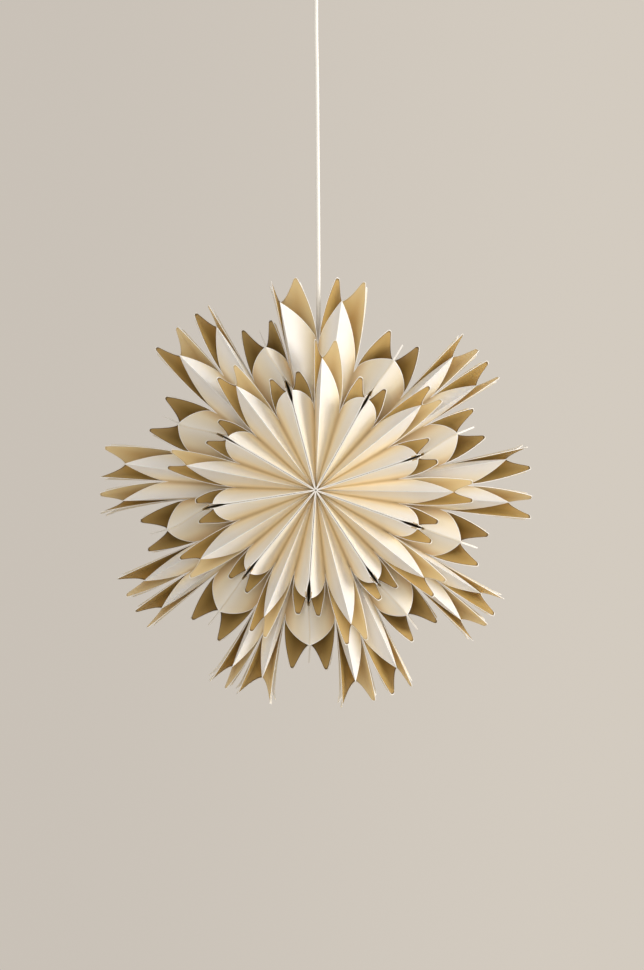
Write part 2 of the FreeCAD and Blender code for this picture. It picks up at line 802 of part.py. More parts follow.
def centre_cell(centre, valleys, depths):
    """The front tube in the middle of a leaf."""
    near, middle, far = depths
    tip = size("front_centre_tip")
    ear = size("front_centre_ear")
    share = FRONT_CENTRE_EAR_SHARE
    ridge = fold(centre, tip, near)
    crease = fold(centre, tip, far)
    halves = []
    for valley in valleys:
        corner = fold(valley, size("front_valley_radius"), middle)
        ear_azimuth = blend(corner.outer, crease.outer, share)
        halves.append(half_cell(ridge, corner, crease, ear_azimuth, ear, share))
    return closed_panels(*halves, False)


def pointed_cell(ridge_azimuth, outer_valley, middle_valley, outward, depths):
    """One of the two pointed tubes behind the middle of a leaf. outward is +1 for the
    clockwise one. Its ears stand either side of its ridge."""
    near, middle, far = depths
    tip = size("rear_pair_tip")
    ridge = fold(ridge_azimuth, tip, near)
    crease = fold(ridge_azimuth, tip, far)
    folds = {
        outward: (fold(outer_valley, size("rear_valley_radius"), middle), PAIR_OUTER_EAR),
        -outward: (fold(middle_valley, size("rear_pair_valley_radius"), middle), PAIR_INNER_EAR),
    }
    halves = []
    for way in (-1, 1):
        corner, spread = folds[way]
        halves.append(half_cell(ridge, corner, crease, ridge_azimuth + way * spread,
                                size("rear_pair_ear"), PAIR_EAR_SHARE))
    return closed_panels(*halves, True)


def leaf_panels(number):
    """The paper panels of the seven tubes in the front half of a leaf."""
    before = size(f"seam_{number}")
    after = size(f"seam_{number % LEAF_COUNT + 1}") + (FULL_TURN if number == LEAF_COUNT else 0)
    centre = size(f"centre_{number}")
    half_spread = size(f"spread_{number}") / 2
    front = (size("front_depth"), size("front_valley_depth"), size("middle_depth"))
    rear = (size("middle_depth"), size("rear_valley_depth"), 0.0)
    panels = []
    front_valleys = []
    for seam, side in ((before, -1), (after, 1)):
        pair_ridge = centre + side * half_spread
        front_valley = blend(centre, seam, FRONT_VALLEY_SHARE)
        rear_valley = blend(pair_ridge, seam, PAIR_VALLEY_SHARE)
        front_valleys.append(front_valley)
        panels += side_cell(seam, side, (front_valley, size("front_valley_radius")),
                            size("front_side_tip"), size("front_side_ear"), FRONT_SIDE_EAR_SHARE, front)
        panels += side_cell(seam, side, (rear_valley, size("rear_valley_radius")),
                            size("rear_side_tip"), size("rear_side_ear"), REAR_SIDE_EAR_SHARE, rear)
        panels += pointed_cell(pair_ridge, rear_valley, centre, side, rear)
    panels += centre_cell(centre, front_valleys, front)
    return panels


def cover_outline():
    """The outline of a cover in its own plane, as (radius, depth) from front to back."""
    front_ear_depth = blend(size("front_valley_depth"), size("middle_depth"), FRONT_SIDE_EAR_SHARE)
    rear_ear_depth = blend(size("rear_valley_depth"), 0, REAR_SIDE_EAR_SHARE)
    half = [
        (size("spine_radius"), size("front_depth")),
        (size("front_side_tip"), size("front_depth")),
        (size("front_side_ear"), front_ear_depth),
        (size("front_side_tip"), size("middle_depth")),
        (size("rear_side_tip"), size("middle_depth")),
        (size("rear_side_ear"), rear_ear_depth),
    ]
    inner = [
        (size("chamber_radius"), size("rear_valley_depth")),
        (size("waist_radius"), size("middle_depth")),
        (size("spine_radius"), size("front_valley_depth")),
    ]
    outer_edge = half + [(size("rear_side_tip"), 0)] + [(r, -d) for r, d in reversed(half)]
    inner_edge = [(r, -d) for r, d in reversed(inner)] + inner
    return outer_edge + inner_edge


def cover(seam, side):
    """A flat paper cover beside a seam; the leaf lies on the given side of it."""
    turn = math.radians(seam)
    along = FreeCAD.Vector(math.sin(turn), 0, math.cos(turn))
    across = FreeCAD.Vector(math.cos(turn), 0, -math.sin(turn)) * -side
    hub = FreeCAD.Vector(0, 0, -size("star_drop")) + across * size("seam_half_gap")
    corners = [hub + along * r + FreeCAD.Vector(0, -d, 0) for r, d in cover_outline()]
    face = Part.Face(Part.makePolygon(corners + corners[:1]))
    return face.extrude(across * size("paper"))


def leaves():
    """Nine leaves, each with the panels of its front and back tubes, and its two covers."""
    hub = FreeCAD.Vector(0, 0, -size("star_drop"))
    for number in range(1, LEAF_COUNT + 1):
        front = Part.makeCompound(leaf_panels(number))
        back = front.mirror(hub, FreeCAD.Vector(0, 1, 0))
        after = number % LEAF_COUNT + 1
        covers = [cover(size(f"seam_{number}"), -1), cover(size(f"seam_{after}"), 1)]
        finish(formed(f"front_{number}", front), f"leaf_{number}_front_cells")
        finish(formed(f"back_{number}", back), f"leaf_{number}_back_cells")
        finish(formed(f"covers_{number}", Part.makeCompound(covers)), f"leaf_{number}_covers")


def closing_clips():
    """Small folded metal clips that hold the first and last covers together, inside the chamber."""
    turn = FreeCAD.Rotation(FreeCAD.Vector(0, 1, 0), size("seam_1"))
    half = size("clip_slot") / 2 + size("clip_wall")
    clips = []
    for depth in CLIP_DEPTHS:
        block = Part.makeBox(2 * half, size("clip_length"), size("clip_length"),
                             FreeCAD.Vector(-half, depth - size("clip_length") / 2, size("clip_start")))
        slot = Part.makeBox(size("clip_slot"), size("clip_length") + 2, size("clip_length"),
                            FreeCAD.Vector(-size("clip_slot") / 2, depth - size("clip_length") / 2 - 1,
                                           size("clip_slot_start")))
        clip = block.cut(slot)
        clip.Placement = FreeCAD.Placement(FreeCAD.Vector(0, 0, -size("star_drop")), turn)
        clips.append(clip)
    finish(formed("clips", Part.makeCompound(clips)), "closing_clips")


# ---------------------------------------------------------------- build and write

def check_and_write():
    """Stops at the first object that failed, and otherwise writes every sub-part."""
    doc.recompute()
    for item in doc.Objects:
        if "Invalid" in item.State or "Error" in item.State:
            raise RuntimeError(f"{item.Name} failed: {item.State}")
    os.makedirs("parts", exist_ok=True)
    for item in pieces:
        shape = item.Shape
        if shape.isNull() or not shape.isValid() or not shape.Solids:
            raise RuntimeError(f"{item.Label} has no valid solid")
        shape.exportStep(f"parts/{item.Label}.step")
        low, high = shape.BoundBox.ZMin, shape.BoundBox.ZMax
        print(f"{item.Label}: {len(shape.Solids)} solids, {shape.Volume:.0f} mm3, Z {low:.1f} to {high:.1f}")


fill_sheet()
ceiling_bracket()
ceiling_hook()
cord_hanger()
terminal_block()
supply_leads()
canopy()
cord()
lampholder()
bulb()
star_carrier()
leaves()
closing_clips()
check_and_write()
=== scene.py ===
# %% [markdown]
# # A folded paper star on its cord
# The real object is a lantern star of stiff paper: nine leaves round a lampholder, each leaf a
# stack of folded tubes between two flat covers, and one white cord up to a canopy at the ceiling.
# The solids that carry and move it come in as a fixed frame. The paper and the cord are made anew
# here, in metres, in the same place, and the other pieces keep their shape and get their finish.
# The first cell loads that frame.

# %% Load the frame
import math
from collections import namedtuple

import bpy
import numpy as np
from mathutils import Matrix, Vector


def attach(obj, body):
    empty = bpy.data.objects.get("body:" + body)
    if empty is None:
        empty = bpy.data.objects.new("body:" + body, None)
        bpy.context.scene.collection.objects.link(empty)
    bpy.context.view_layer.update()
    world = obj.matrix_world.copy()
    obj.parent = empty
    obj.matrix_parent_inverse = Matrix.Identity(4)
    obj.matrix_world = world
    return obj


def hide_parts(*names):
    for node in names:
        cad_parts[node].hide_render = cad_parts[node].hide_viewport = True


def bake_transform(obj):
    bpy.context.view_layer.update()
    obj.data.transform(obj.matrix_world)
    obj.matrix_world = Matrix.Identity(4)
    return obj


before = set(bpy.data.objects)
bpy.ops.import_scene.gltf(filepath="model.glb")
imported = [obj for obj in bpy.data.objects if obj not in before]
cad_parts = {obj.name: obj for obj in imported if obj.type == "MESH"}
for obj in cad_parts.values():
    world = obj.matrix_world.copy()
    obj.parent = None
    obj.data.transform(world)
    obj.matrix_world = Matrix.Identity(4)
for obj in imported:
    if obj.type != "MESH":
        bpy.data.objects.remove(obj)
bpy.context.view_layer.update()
MM = 0.001
print("nodes in the frame:", len(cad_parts))

# %% [markdown]
# ## The camera
# The picture was taken straight on, with the star a little left of the middle, and the camera is
# taken to stand about two metres away. The height of the picture at the star is known from the
# star's own size, and the angle of view follows from it.

# %% Camera
PICTURE_HEIGHT_PX = 970
PICTURE_CENTRE_PX = (322.0, 485.0)
STAR_CENTRE_PX = (316.0, 490.0)
PICTURE_HEIGHT = 1.122
CAMERA_DISTANCE = 2.2
STAR_CENTRE = Vector((0.0, 0.0, -0.65))

pixel = PICTURE_HEIGHT / PICTURE_HEIGHT_PX
camera_x = (PICTURE_CENTRE_PX[0] - STAR_CENTRE_PX[0]) * pixel
camera_z = STAR_CENTRE.z + (STAR_CENTRE_PX[1] - PICTURE_CENTRE_PX[1]) * pixel
bpy.ops.object.select_all(action="DESELECT")
bpy.ops.object.camera_add(location=(camera_x, -CAMERA_DISTANCE, camera_z), rotation=(math.pi / 2, 0, 0))
camera = bpy.context.object
camera.name = "camera"
camera.data.sensor_fit = "VERTICAL"
camera.data.angle = 2 * math.atan(PICTURE_HEIGHT / 2 / CAMERA_DISTANCE)
bpy.context.scene.camera = camera
print("one picture point is", round(pixel / MM, 3), "mm at the star")

# %% [markdown]
# ## Small helpers
# A finished piece has its place in its mesh and its object at the origin. These helpers name,
# shade and hand over a piece in one line each, so that the cells below stay short.


# %% Helpers
# Material slots of a sheet of paper, counted from its front's
OUTSIDE, INSIDE, EDGE = range(3)


def deselect():
    """Operators act on all that is selected, so each cell starts with nothing selected."""
    if bpy.context.object and bpy.context.object.mode != "OBJECT":
        bpy.ops.object.mode_set(mode="OBJECT")
    bpy.ops.object.select_all(action="DESELECT")


def select_only(item):
    """Selects one object and makes it the one that operators work on."""
    deselect()
    item.select_set(True)
    bpy.context.view_layer.objects.active = item


def apply_modifiers(item):
    """Makes every modifier's result the mesh itself."""
    select_only(item)
    for modifier in list(item.modifiers):
        bpy.ops.object.modifier_apply(modifier=modifier.name)


def thicken(sheet, thickness, offset):
    """Gives a sheet its thickness in millimetres. Its back takes the next material slot after its
    front's, and the rim the one after that."""
    modifier = sheet.modifiers.new("paper", "SOLIDIFY")
    modifier.thickness = thickness * MM
    modifier.offset = offset
    modifier.material_offset = INSIDE
    modifier.material_offset_rim = EDGE
    apply_modifiers(sheet)


def apply_place(item):
    """Moves an object's place, turn and size into its mesh."""
    select_only(item)
    bpy.ops.object.transform_apply(location=True, rotation=True, scale=True)


def join(items, name):
    """One object from several, each of which keeps its faces' materials."""
    deselect()
    for item in items:
        item.select_set(True)
    bpy.context.view_layer.objects.active = items[0]
    bpy.ops.object.join()
    items[0].name = name
    items[0].data.name = name
    return items[0]


def smooth(item, degrees):
    """Shades a piece smooth, apart from edges sharper than an angle."""
    select_only(item)
    bpy.ops.object.shade_smooth_by_angle(angle=math.radians(degrees))


def hand_over(item, body, slot, *nodes):
    """A finished piece rides on a body and stands for nodes, which it hides; the slot is not used."""
    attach(item, body)
    if nodes:
        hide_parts(*nodes)
    return item


# %% [markdown]
# ## Materials
# Every finish is a node tree. What all finishes use is a group with named inputs: `grain` gives a
# fine height for the bump and a slow mottle for the colour. Only these two values leave the group,
# and the Principled shader stays in the material.


# %% Node helpers
def new_group(name, inputs, outputs):
    """An empty node group with its sockets: inputs are (name, kind, default), outputs (name, kind)."""
    tree = bpy.data.node_groups.new(name, "ShaderNodeTree")
    for label, kind, default in inputs:
        socket = tree.interface.new_socket(label, in_out="INPUT", socket_type=kind)
        socket.default_value = default
    for label, kind in outputs:
        tree.interface.new_socket(label, in_out="OUTPUT", socket_type=kind)
    return tree, tree.nodes.new("NodeGroupInput"), tree.nodes.new("NodeGroupOutput")


def node(tree, kind, **settings):
    """Adds a node. Settings that name an input socket fill it, and others are its properties."""
    item = tree.nodes.new(kind)
    for label, amount in settings.items():
        socket = item.inputs.get(label.replace("_", " "))
        if socket is None:
            setattr(item, label, amount)
        elif isinstance(amount, bpy.types.NodeSocket):
            tree.links.new(amount, socket)
        else:
            socket.default_value = amount
    return item


def calculate(tree, operation, first, second=0.0, clamp=False):
    """A Math node with two inputs, and its result."""
    item = tree.nodes.new("ShaderNodeMath")
    item.operation = operation
    item.use_clamp = clamp
    for socket, amount in zip(item.inputs, (first, second)):
        if isinstance(amount, bpy.types.NodeSocket):
            tree.links.new(amount, socket)
        else:
            socket.default_value = amount
    return item.outputs[0]


def scaled(tree, amount, factor, added=0.0):
    """An amount times a factor, plus a number where one is given."""
    product = calculate(tree, "MULTIPLY", amount, factor)
    return calculate(tree, "ADD", product, added) if added else product


def fade(tree, amount, low, high):
    """0 below low and 1 above high, with a soft start and end; low may be above high."""
    item = node(tree, "ShaderNodeMapRange", interpolation_type="SMOOTHSTEP")
    tree.links.new(amount, item.inputs["Value"])
    item.inputs["From Min"].default_value = min(low, high)
    item.inputs["From Max"].default_value = max(low, high)
    item.inputs["To Min"].default_value = 0.0 if low < high else 1.0
    item.inputs["To Max"].default_value = 1.0 if low < high else 0.0
    return item.outputs["Result"]


def mix(tree, share, first, second):
    """A colour between two, where share is 0 for the first."""
    item = tree.nodes.new("ShaderNodeMix")
    item.data_type = "RGBA"
    for socket, amount in ((item.inputs[0], share), (item.inputs[6], first), (item.inputs[7], second)):
        if isinstance(amount, bpy.types.NodeSocket):
            tree.links.new(amount, socket)
        else:
            socket.default_value = amount
    return item.outputs[2]


def material(name):
    """A new material with its tree and its Principled shader."""
    item = bpy.data.materials.new(name)
    item.use_nodes = True
    return item, item.node_tree, item.node_tree.nodes["Principled BSDF"]


def paint(tree, shader, colour):
    """Feeds a colour into the shader."""
    tree.links.new(colour, shader.inputs["Base Color"])


def relief(tree, shader, height, strength, distance):
    """Feeds a height into the shader's normal through a Bump node."""
    bump = node(tree, "ShaderNodeBump", Strength=strength, Distance=distance, Height=height)
    tree.links.new(bump.outputs["Normal"], shader.inputs["Normal"])


# %% Grain group
def grain_group():
    """Fine grain and slow mottle on Object coordinates, both between 0 and 1."""
    tree, given, result = new_group(
        "grain",
        [("Fine scale", "NodeSocketFloat", 900.0), ("Slow scale", "NodeSocketFloat", 14.0)],
        [("Grain", "NodeSocketFloat"), ("Mottle", "NodeSocketFloat")],
    )
    place = node(tree, "ShaderNodeTexCoord")
    fine = node(tree, "ShaderNodeTexNoise", Vector=place.outputs["Object"], Detail=3.0, Roughness=0.6)
    slow = node(tree, "ShaderNodeTexNoise", Vector=place.outputs["Object"], Detail=2.0, Roughness=0.5)
    tree.links.new(given.outputs["Fine scale"], fine.inputs["Scale"])
    tree.links.new(given.outputs["Slow scale"], slow.inputs["Scale"])
    tree.links.new(fine.outputs["Fac"], result.inputs["Grain"])
    tree.links.new(slow.outputs["Fac"], result.inputs["Mottle"])
    return tree


grain = grain_group()


def add_grain(tree, fine_scale, slow_scale):
    """Places the grain group in a material, and gives its two values."""
    item = tree.nodes.new("ShaderNodeGroup")
    item.node_tree = grain
    item.inputs["Fine scale"].default_value = fine_scale
    item.inputs["Slow scale"].default_value = slow_scale
    return item.outputs["Grain"], item.outputs["Mottle"]


# %% [markdown]
# ### Paper
# The star's paper is white outside and golden brown inside. Light that has bounced in a fold or
# come through the paper turns warm, so the white deepens to cream towards the valleys and the
# pole. That cream is painted light, laid on here by place. Painted shade turns the deepest corners
# tan and the brown inside darker down in the tubes, and a painted highlight whitens the ridges. The
# paler inside of the walls that look lit through from the right is painted light as well. All of
# it stays with the paper when the star turns. Each wall carries a UV map called `wall`: U runs
# from the ridge (0) to the valley (1), and V is the distance from the cut edge in metres.
# Subsurface scattering adds a little light that really comes through.

# %% Paper materials
RIDGE_WHITE = (0.89, 0.855, 0.81, 1)
# Painted light: a warm cream that stands for light bounced in the folds
BOUNCE_CREAM = (0.84, 0.66, 0.385, 1)
# Painted shade: tan for the deepest corners of the folds
FOLD_SHADE_TAN = (0.47, 0.31, 0.14, 1)
INSIDE_BROWN = (0.45, 0.305, 0.10, 1)
# Painted shade: the brown deep down in the tubes
INSIDE_SHADE = (0.29, 0.185, 0.045, 1)
INSIDE_LINE = (0.07, 0.035, 0.008, 1)
# Painted light: a paler inside for walls that the key lamp shines through
LIT_THROUGH_TAN = (0.86, 0.67, 0.39, 1)
LIT_THROUGH_SHADE = (0.70, 0.50, 0.24, 1)
# The paper's white cut edge, which also serves as the painted highlight along the ridges
EDGE_AND_HIGHLIGHT_WHITE = (0.95, 0.93, 0.89, 1)
SKIN_SCALE = 500.0
SKIN_STRENGTH = 0.035
SKIN_HEIGHT = 0.0003
GLOW_RADIUS = (1.0, 0.9, 0.75)
GLOW_SCALE = 0.002
# Where a change begins and where it is complete, as shares of a wall
BOUNCE_ACROSS = (0.15, 0.95)
FOLD_SHADE_ACROSS = (0.72, 1.0)
# Where the painted highlight along a ridge fades out
RIDGE_HIGHLIGHT_ACROSS = (0.07, 0.02)
# The same in metres: from the star's axis, and then from the cut edge
BOUNCE_INWARD = (0.15, 0.02)
# Painted shade inside the tubes grows over this distance from the cut edge
TUBE_SHADE_REACH = (0.0, 0.05)
DARK_LINE = (0.0034, 0.0016)
OUTSIDE_RIM = (0.0011, 0.0005)
INSIDE_RIM = (0.0011, 0.0006)


def wall_place(tree):
    """How far across its wall a point lies, and how far from the cut edge in metres."""
    wall = node(tree, "ShaderNodeUVMap", uv_map="wall").outputs["UV"]
    parts = node(tree, "ShaderNodeSeparateXYZ", Vector=wall)
    return parts.outputs["X"], parts.outputs["Y"]


def paper_sheet(tree, shader, colour, grains, rough, glow):
    """What both sides of the paper share: a fine skin, and some light from behind."""
    paint(tree, shader, colour)
    shader.inputs["Roughness"].default_value = rough
    shader.inputs["Subsurface Weight"].default_value = glow
    shader.inputs["Subsurface Radius"].default_value = GLOW_RADIUS
    shader.inputs["Subsurface Scale"].default_value = GLOW_SCALE
    relief(tree, shader, grains, SKIN_STRENGTH, SKIN_HEIGHT)


def paper_outside():
    """White with a painted highlight at the ridges and white at the cut edges, painted bounce light in
    cream towards the valleys and the pole, and painted shade in tan in the corners.
    """
    item, tree, shader = material("star_paper")
    across, from_edge = wall_place(tree)
    place = node(tree, "ShaderNodeTexCoord").outputs["Object"]
    axis = node(tree, "ShaderNodeMapping", Vector=place, Location=(0, 0, -STAR_CENTRE.z), Scale=(1, 0, 1))
    reach = node(tree, "ShaderNodeVectorMath", operation="LENGTH")
    tree.links.new(axis.outputs["Vector"], reach.inputs[0])
    inward = fade(tree, reach.outputs["Value"], *BOUNCE_INWARD)
    grains, mottle = add_grain(tree, SKIN_SCALE, 22.0)
    # Painted bounce light: cream across the wall towards the valley, and towards the pole
    warm = calculate(tree, "MULTIPLY", fade(tree, across, *BOUNCE_ACROSS), scaled(tree, inward, 0.3, 0.7))
    warm = calculate(tree, "MAXIMUM", warm, scaled(tree, inward, 0.6))
    warm = calculate(tree, "ADD", warm, scaled(tree, mottle, 0.06), clamp=True)
    colour = mix(tree, warm, RIDGE_WHITE, BOUNCE_CREAM)
    # Painted shade: tan in the deepest part of the valley
    colour = mix(tree, scaled(tree, fade(tree, across, *FOLD_SHADE_ACROSS), 0.8), colour, FOLD_SHADE_TAN)
    # Painted highlight along the ridge, beside the white of the paper's own cut edge
    rim, ridge = fade(tree, from_edge, *OUTSIDE_RIM), fade(tree, across, *RIDGE_HIGHLIGHT_ACROSS)
    colour = mix(tree, calculate(tree, "MAXIMUM", rim, ridge), colour, EDGE_AND_HIGHLIGHT_WHITE)
    paper_sheet(tree, shader, colour, grains, rough=0.62, glow=0.6)
    return item


def paper_inside(name, brown, dark, outline):
    """The paper's other side: painted shade darkens it down in the fold, and a dark line lies inside its
    white edge.
    """
    item, tree, shader = material(name)
    from_edge = wall_place(tree)[1]
    grains, mottle = add_grain(tree, SKIN_SCALE, 30.0)
    # Painted shade: the brown darkens with distance from the cut edge, down in the tube
    deep = fade(tree, from_edge, *TUBE_SHADE_REACH)
    shade = calculate(tree, "ADD", deep, scaled(tree, mottle, 0.2), clamp=True)
    colour = mix(tree, shade, brown, dark)
    line = scaled(tree, fade(tree, from_edge, *DARK_LINE), outline)
    colour = mix(tree, line, colour, INSIDE_LINE)
    colour = mix(tree, fade(tree, from_edge, *INSIDE_RIM), colour, EDGE_AND_HIGHLIGHT_WHITE)
    paper_sheet(tree, shader, colour, grains, rough=0.6, glow=0.5)
    return item


def paper_edge():
    """The cut edge, a little rougher than the sheet."""
    item, tree, shader = material("star_paper_edge")
    grains, mottle = add_grain(tree, 2000.0, 60.0)
    paint(tree, shader, mix(tree, mottle, EDGE_AND_HIGHLIGHT_WHITE, RIDGE_WHITE))
    shader.inputs["Roughness"].default_value = 0.8
    relief(tree, shader, grains, 0.1, 0.0002)
    return item


PAPER = [
    paper_outside(),
    paper_inside("star_paper_inside", INSIDE_BROWN, INSIDE_SHADE, outline=0.8),
    paper_edge(),
]
# Painted light: the paper for far walls lit through by the key lamp
LIT_THROUGH_PAPER = [
    PAPER[OUTSIDE],
    paper_inside("star_paper_lit_through", LIT_THROUGH_TAN, LIT_THROUGH_SHADE, outline=0.25),
    PAPER[EDGE],
]
print("papers:", ", ".join(sorted({paper.name for paper in PAPER + LIT_THROUGH_PAPER})))

# %% [markdown]
# ## How a leaf is folded
# Seen from the front, every fold of the star runs outwards from its pole, so a fold is one angle,
# read clockwise from the top, with a distance from the axis and a depth in front of the star's
# middle plane. The folds are uneven, so the angles were read off the picture one by one, and are
# listed in the order of the folds. A leaf has three tubes in front (half a tube, a whole one,
# half a tube) and behind them four (half, two whole ones, half).

# %% Fold angles
# Front: side tip, ear, valley | middle ear, ridge, ear | valley, ear, side tip
FRONT_FOLDS = (
    (-12.8, -6.9, -0.9, -0.3, 2.7, 7.5, 16.9, 20.9, 27.8),
    (30.6, 35.1, 42.2, 47.6, 51.1, 54.5, 59.5, 65.8, 70.6),
    (73.1, 78.1, 82.3, 87.0, 90.8, 93.9, 99.1, 103.8, 108.1),
    (111.3, 115.0, 120.3, 125.0, 128.9, 132.1, 136.4, 140.1, 145.0),
    (148.0, 151.1, 156.0, 161.2, 165.2, 168.6, 173.6, 178.1, 181.9),
    (185.9, 189.8, 194.5, 199.2, 202.2, 204.9, 209.1, 213.8, 218.3),
    (221.1, 225.6, 229.4, 235.3, 239.1, 243.4, 248.8, 254.9, 259.7),
    (262.8, 266.6, 271.9, 278.6, 280.8, 285.3, 289.3, 293.8, 299.4),
    (301.3, 306.6, 312.1, 318.8, 322.7, 326.9, 332.2, 337.4, 343.1),
)
# Rear: side tip, ear, valley | ear, ridge, ear, valley, ear, ridge, ear | valley, ear, side tip
REAR_FOLDS = (
    (-19.5, -15.0, -12.0, -12.2, -10.8, -5.5, 0.9, 5.8, 7.8, 13.1, 17.8, 24.9, 30.9),
    (30.9, 35.6, 42.8, 43.3, 45.8, 49.1, 51.1, 53.3, 57.0, 58.4, 59.4, 63.0, 68.3),
    (68.3, 72.5, 78.8, 78.3, 80.8, 84.1, 88.1, 91.9, 93.6, 97.2, 98.8, 104.7, 109.7),
    (109.7, 114.8, 120.1, 120.0, 122.0, 125.0, 126.8, 128.4, 131.8, 133.9, 133.8, 137.7, 143.9),
    (143.9, 147.4, 153.1, 154.0, 155.5, 159.4, 162.8, 164.5, 168.3, 173.6, 171.4, 176.7, 182.3),
    (182.3, 187.7, 193.9, 191.6, 195.9, 201.4, 200.3, 204.5, 205.3, 209.4, 207.2, 213.0, 218.6),
    (218.6, 223.8, 230.2, 230.8, 232.5, 236.1, 237.2, 240.8, 242.2, 245.9, 246.4, 250.3, 255.1),
    (255.1, 260.0, 266.1, 263.6, 266.8, 268.9, 273.3, 273.4, 277.8, 281.4, 286.0, 289.9, 295.8),
    (295.8, 301.6, 307.8, 311.6, 314.7, 319.4, 321.1, 325.6, 328.8, 329.8, 330.3, 335.3, 340.5),
)
LEAF_COUNT = len(FRONT_FOLDS)

# %% [markdown]
# Distances and depths are the same for all leaves, apart from a small droop: the lower folds reach
# a little further from the pole than the upper ones.

# %% Fold distances, in millimetres
FRONT_DEPTH = 115.0
FRONT_VALLEY_DEPTH = 92.0
MIDDLE_DEPTH = 69.0
REAR_VALLEY_DEPTH = 52.0
POLE_RADIUS = 1.0
WAIST_RADIUS = 24.0
CHAMBER_RADIUS = 64.0
PAPER_THICK = 0.6
COVER_THICK = 0.8

FRONT_VALLEY = 91.0
FRONT_SIDE_TIP = 116.0
FRONT_SIDE_EAR = 138.0
FRONT_TIP = 148.5
FRONT_EAR = 172.0
REAR_VALLEY = 142.0
REAR_SIDE_TIP = 172.0
REAR_SIDE_EAR = 204.0
PAIR_VALLEY = 167.5
PAIR_TIP = 217.0
PAIR_EAR = 247.5
# The droop's share of the distance, and the angle where it is greatest
FRONT_DROOP = (0.030, 135.0)
REAR_DROOP = (0.012, 180.0)


def drooped(radius, azimuth, droop):
    """A distance from the pole with the paper's droop, which is greatest towards one side."""
    share, lowest = droop
    return radius * (1 + share * math.cos(math.radians(azimuth - lowest)))


def inner_radius(depth):
    """How far from the axis the paper starts: almost at it in front, round the bulb behind."""
    depths = (0.0, REAR_VALLEY_DEPTH, MIDDLE_DEPTH, FRONT_VALLEY_DEPTH, FRONT_DEPTH)
    radii = (CHAMBER_RADIUS, CHAMBER_RADIUS, WAIST_RADIUS, POLE_RADIUS * 3, POLE_RADIUS)
    return float(np.interp(depth, depths, radii))


def star_point(azimuth, radius, depth, facing):
    """A place in metres; facing is +1 for the star's front and -1 for its back."""
    turn = math.radians(azimuth)
    away = Vector((radius * math.sin(turn), -depth * facing, radius * math.cos(turn)))
    return STAR_CENTRE + away * MM


# %% [markdown]
# ## A folded tube
# Each tube starts as a flat strip: a grid, added once and copied. Its columns then become the
# walls, from the ridge over the near wall to the valley corner, and back along the far wall to
# the crease behind. The near wall is cut to an arch and runs softly into the valley, and the far
# wall is cut to an ear.

# %% Strip columns
NEAR_COLUMNS = 14
RISE_COLUMNS = 12
FALL_COLUMNS = 10
FAR_COLUMNS = RISE_COLUMNS + FALL_COLUMNS
ROWS = 10
# Curves of the cut edge: the creased arch, up to the ear and down from it
ARCH_POWER = 0.75
RISE_POWER = 0.75
FALL_POWER = 1.8
# How late along a fold the ear leans out, and where on the far wall it stands
FLARE_POWER = 4.0
EAR_SHARE = 0.55
# The blunt tip of an ear: half its width in millimetres, at most a share of the ear's own sides,
# and the height of its arc as a share of that
EAR_TIP = 2.3
TIP_SHARE = 0.3
TIP_LEAN = 0.78
LEAST_WIDTH = 0.5
# The crease stands out a little past the ridge's tip
CREASE_REACH = 1.03
COLUMN_CROWDING = 1.7
# What is left of a front valley's depth at the pole
POLE_FOLD = 0.08
# The half tubes behind carry painted bounce light, cream all over, so their U starts here
REAR_BOUNCE_SHARE = 0.42
# Inner walls that face this way, right and a little up, get the paler paper: painted light for the key
# lamp shining through them
LIT_THROUGH_SIDE = (0.94, 0.34)
LIT_THROUGH_FROM = 0.15
MERGE_DISTANCE = 0.00001
SMOOTH_ANGLE = 40

Column = namedtuple("Column", "inner outer cut depth half fold")


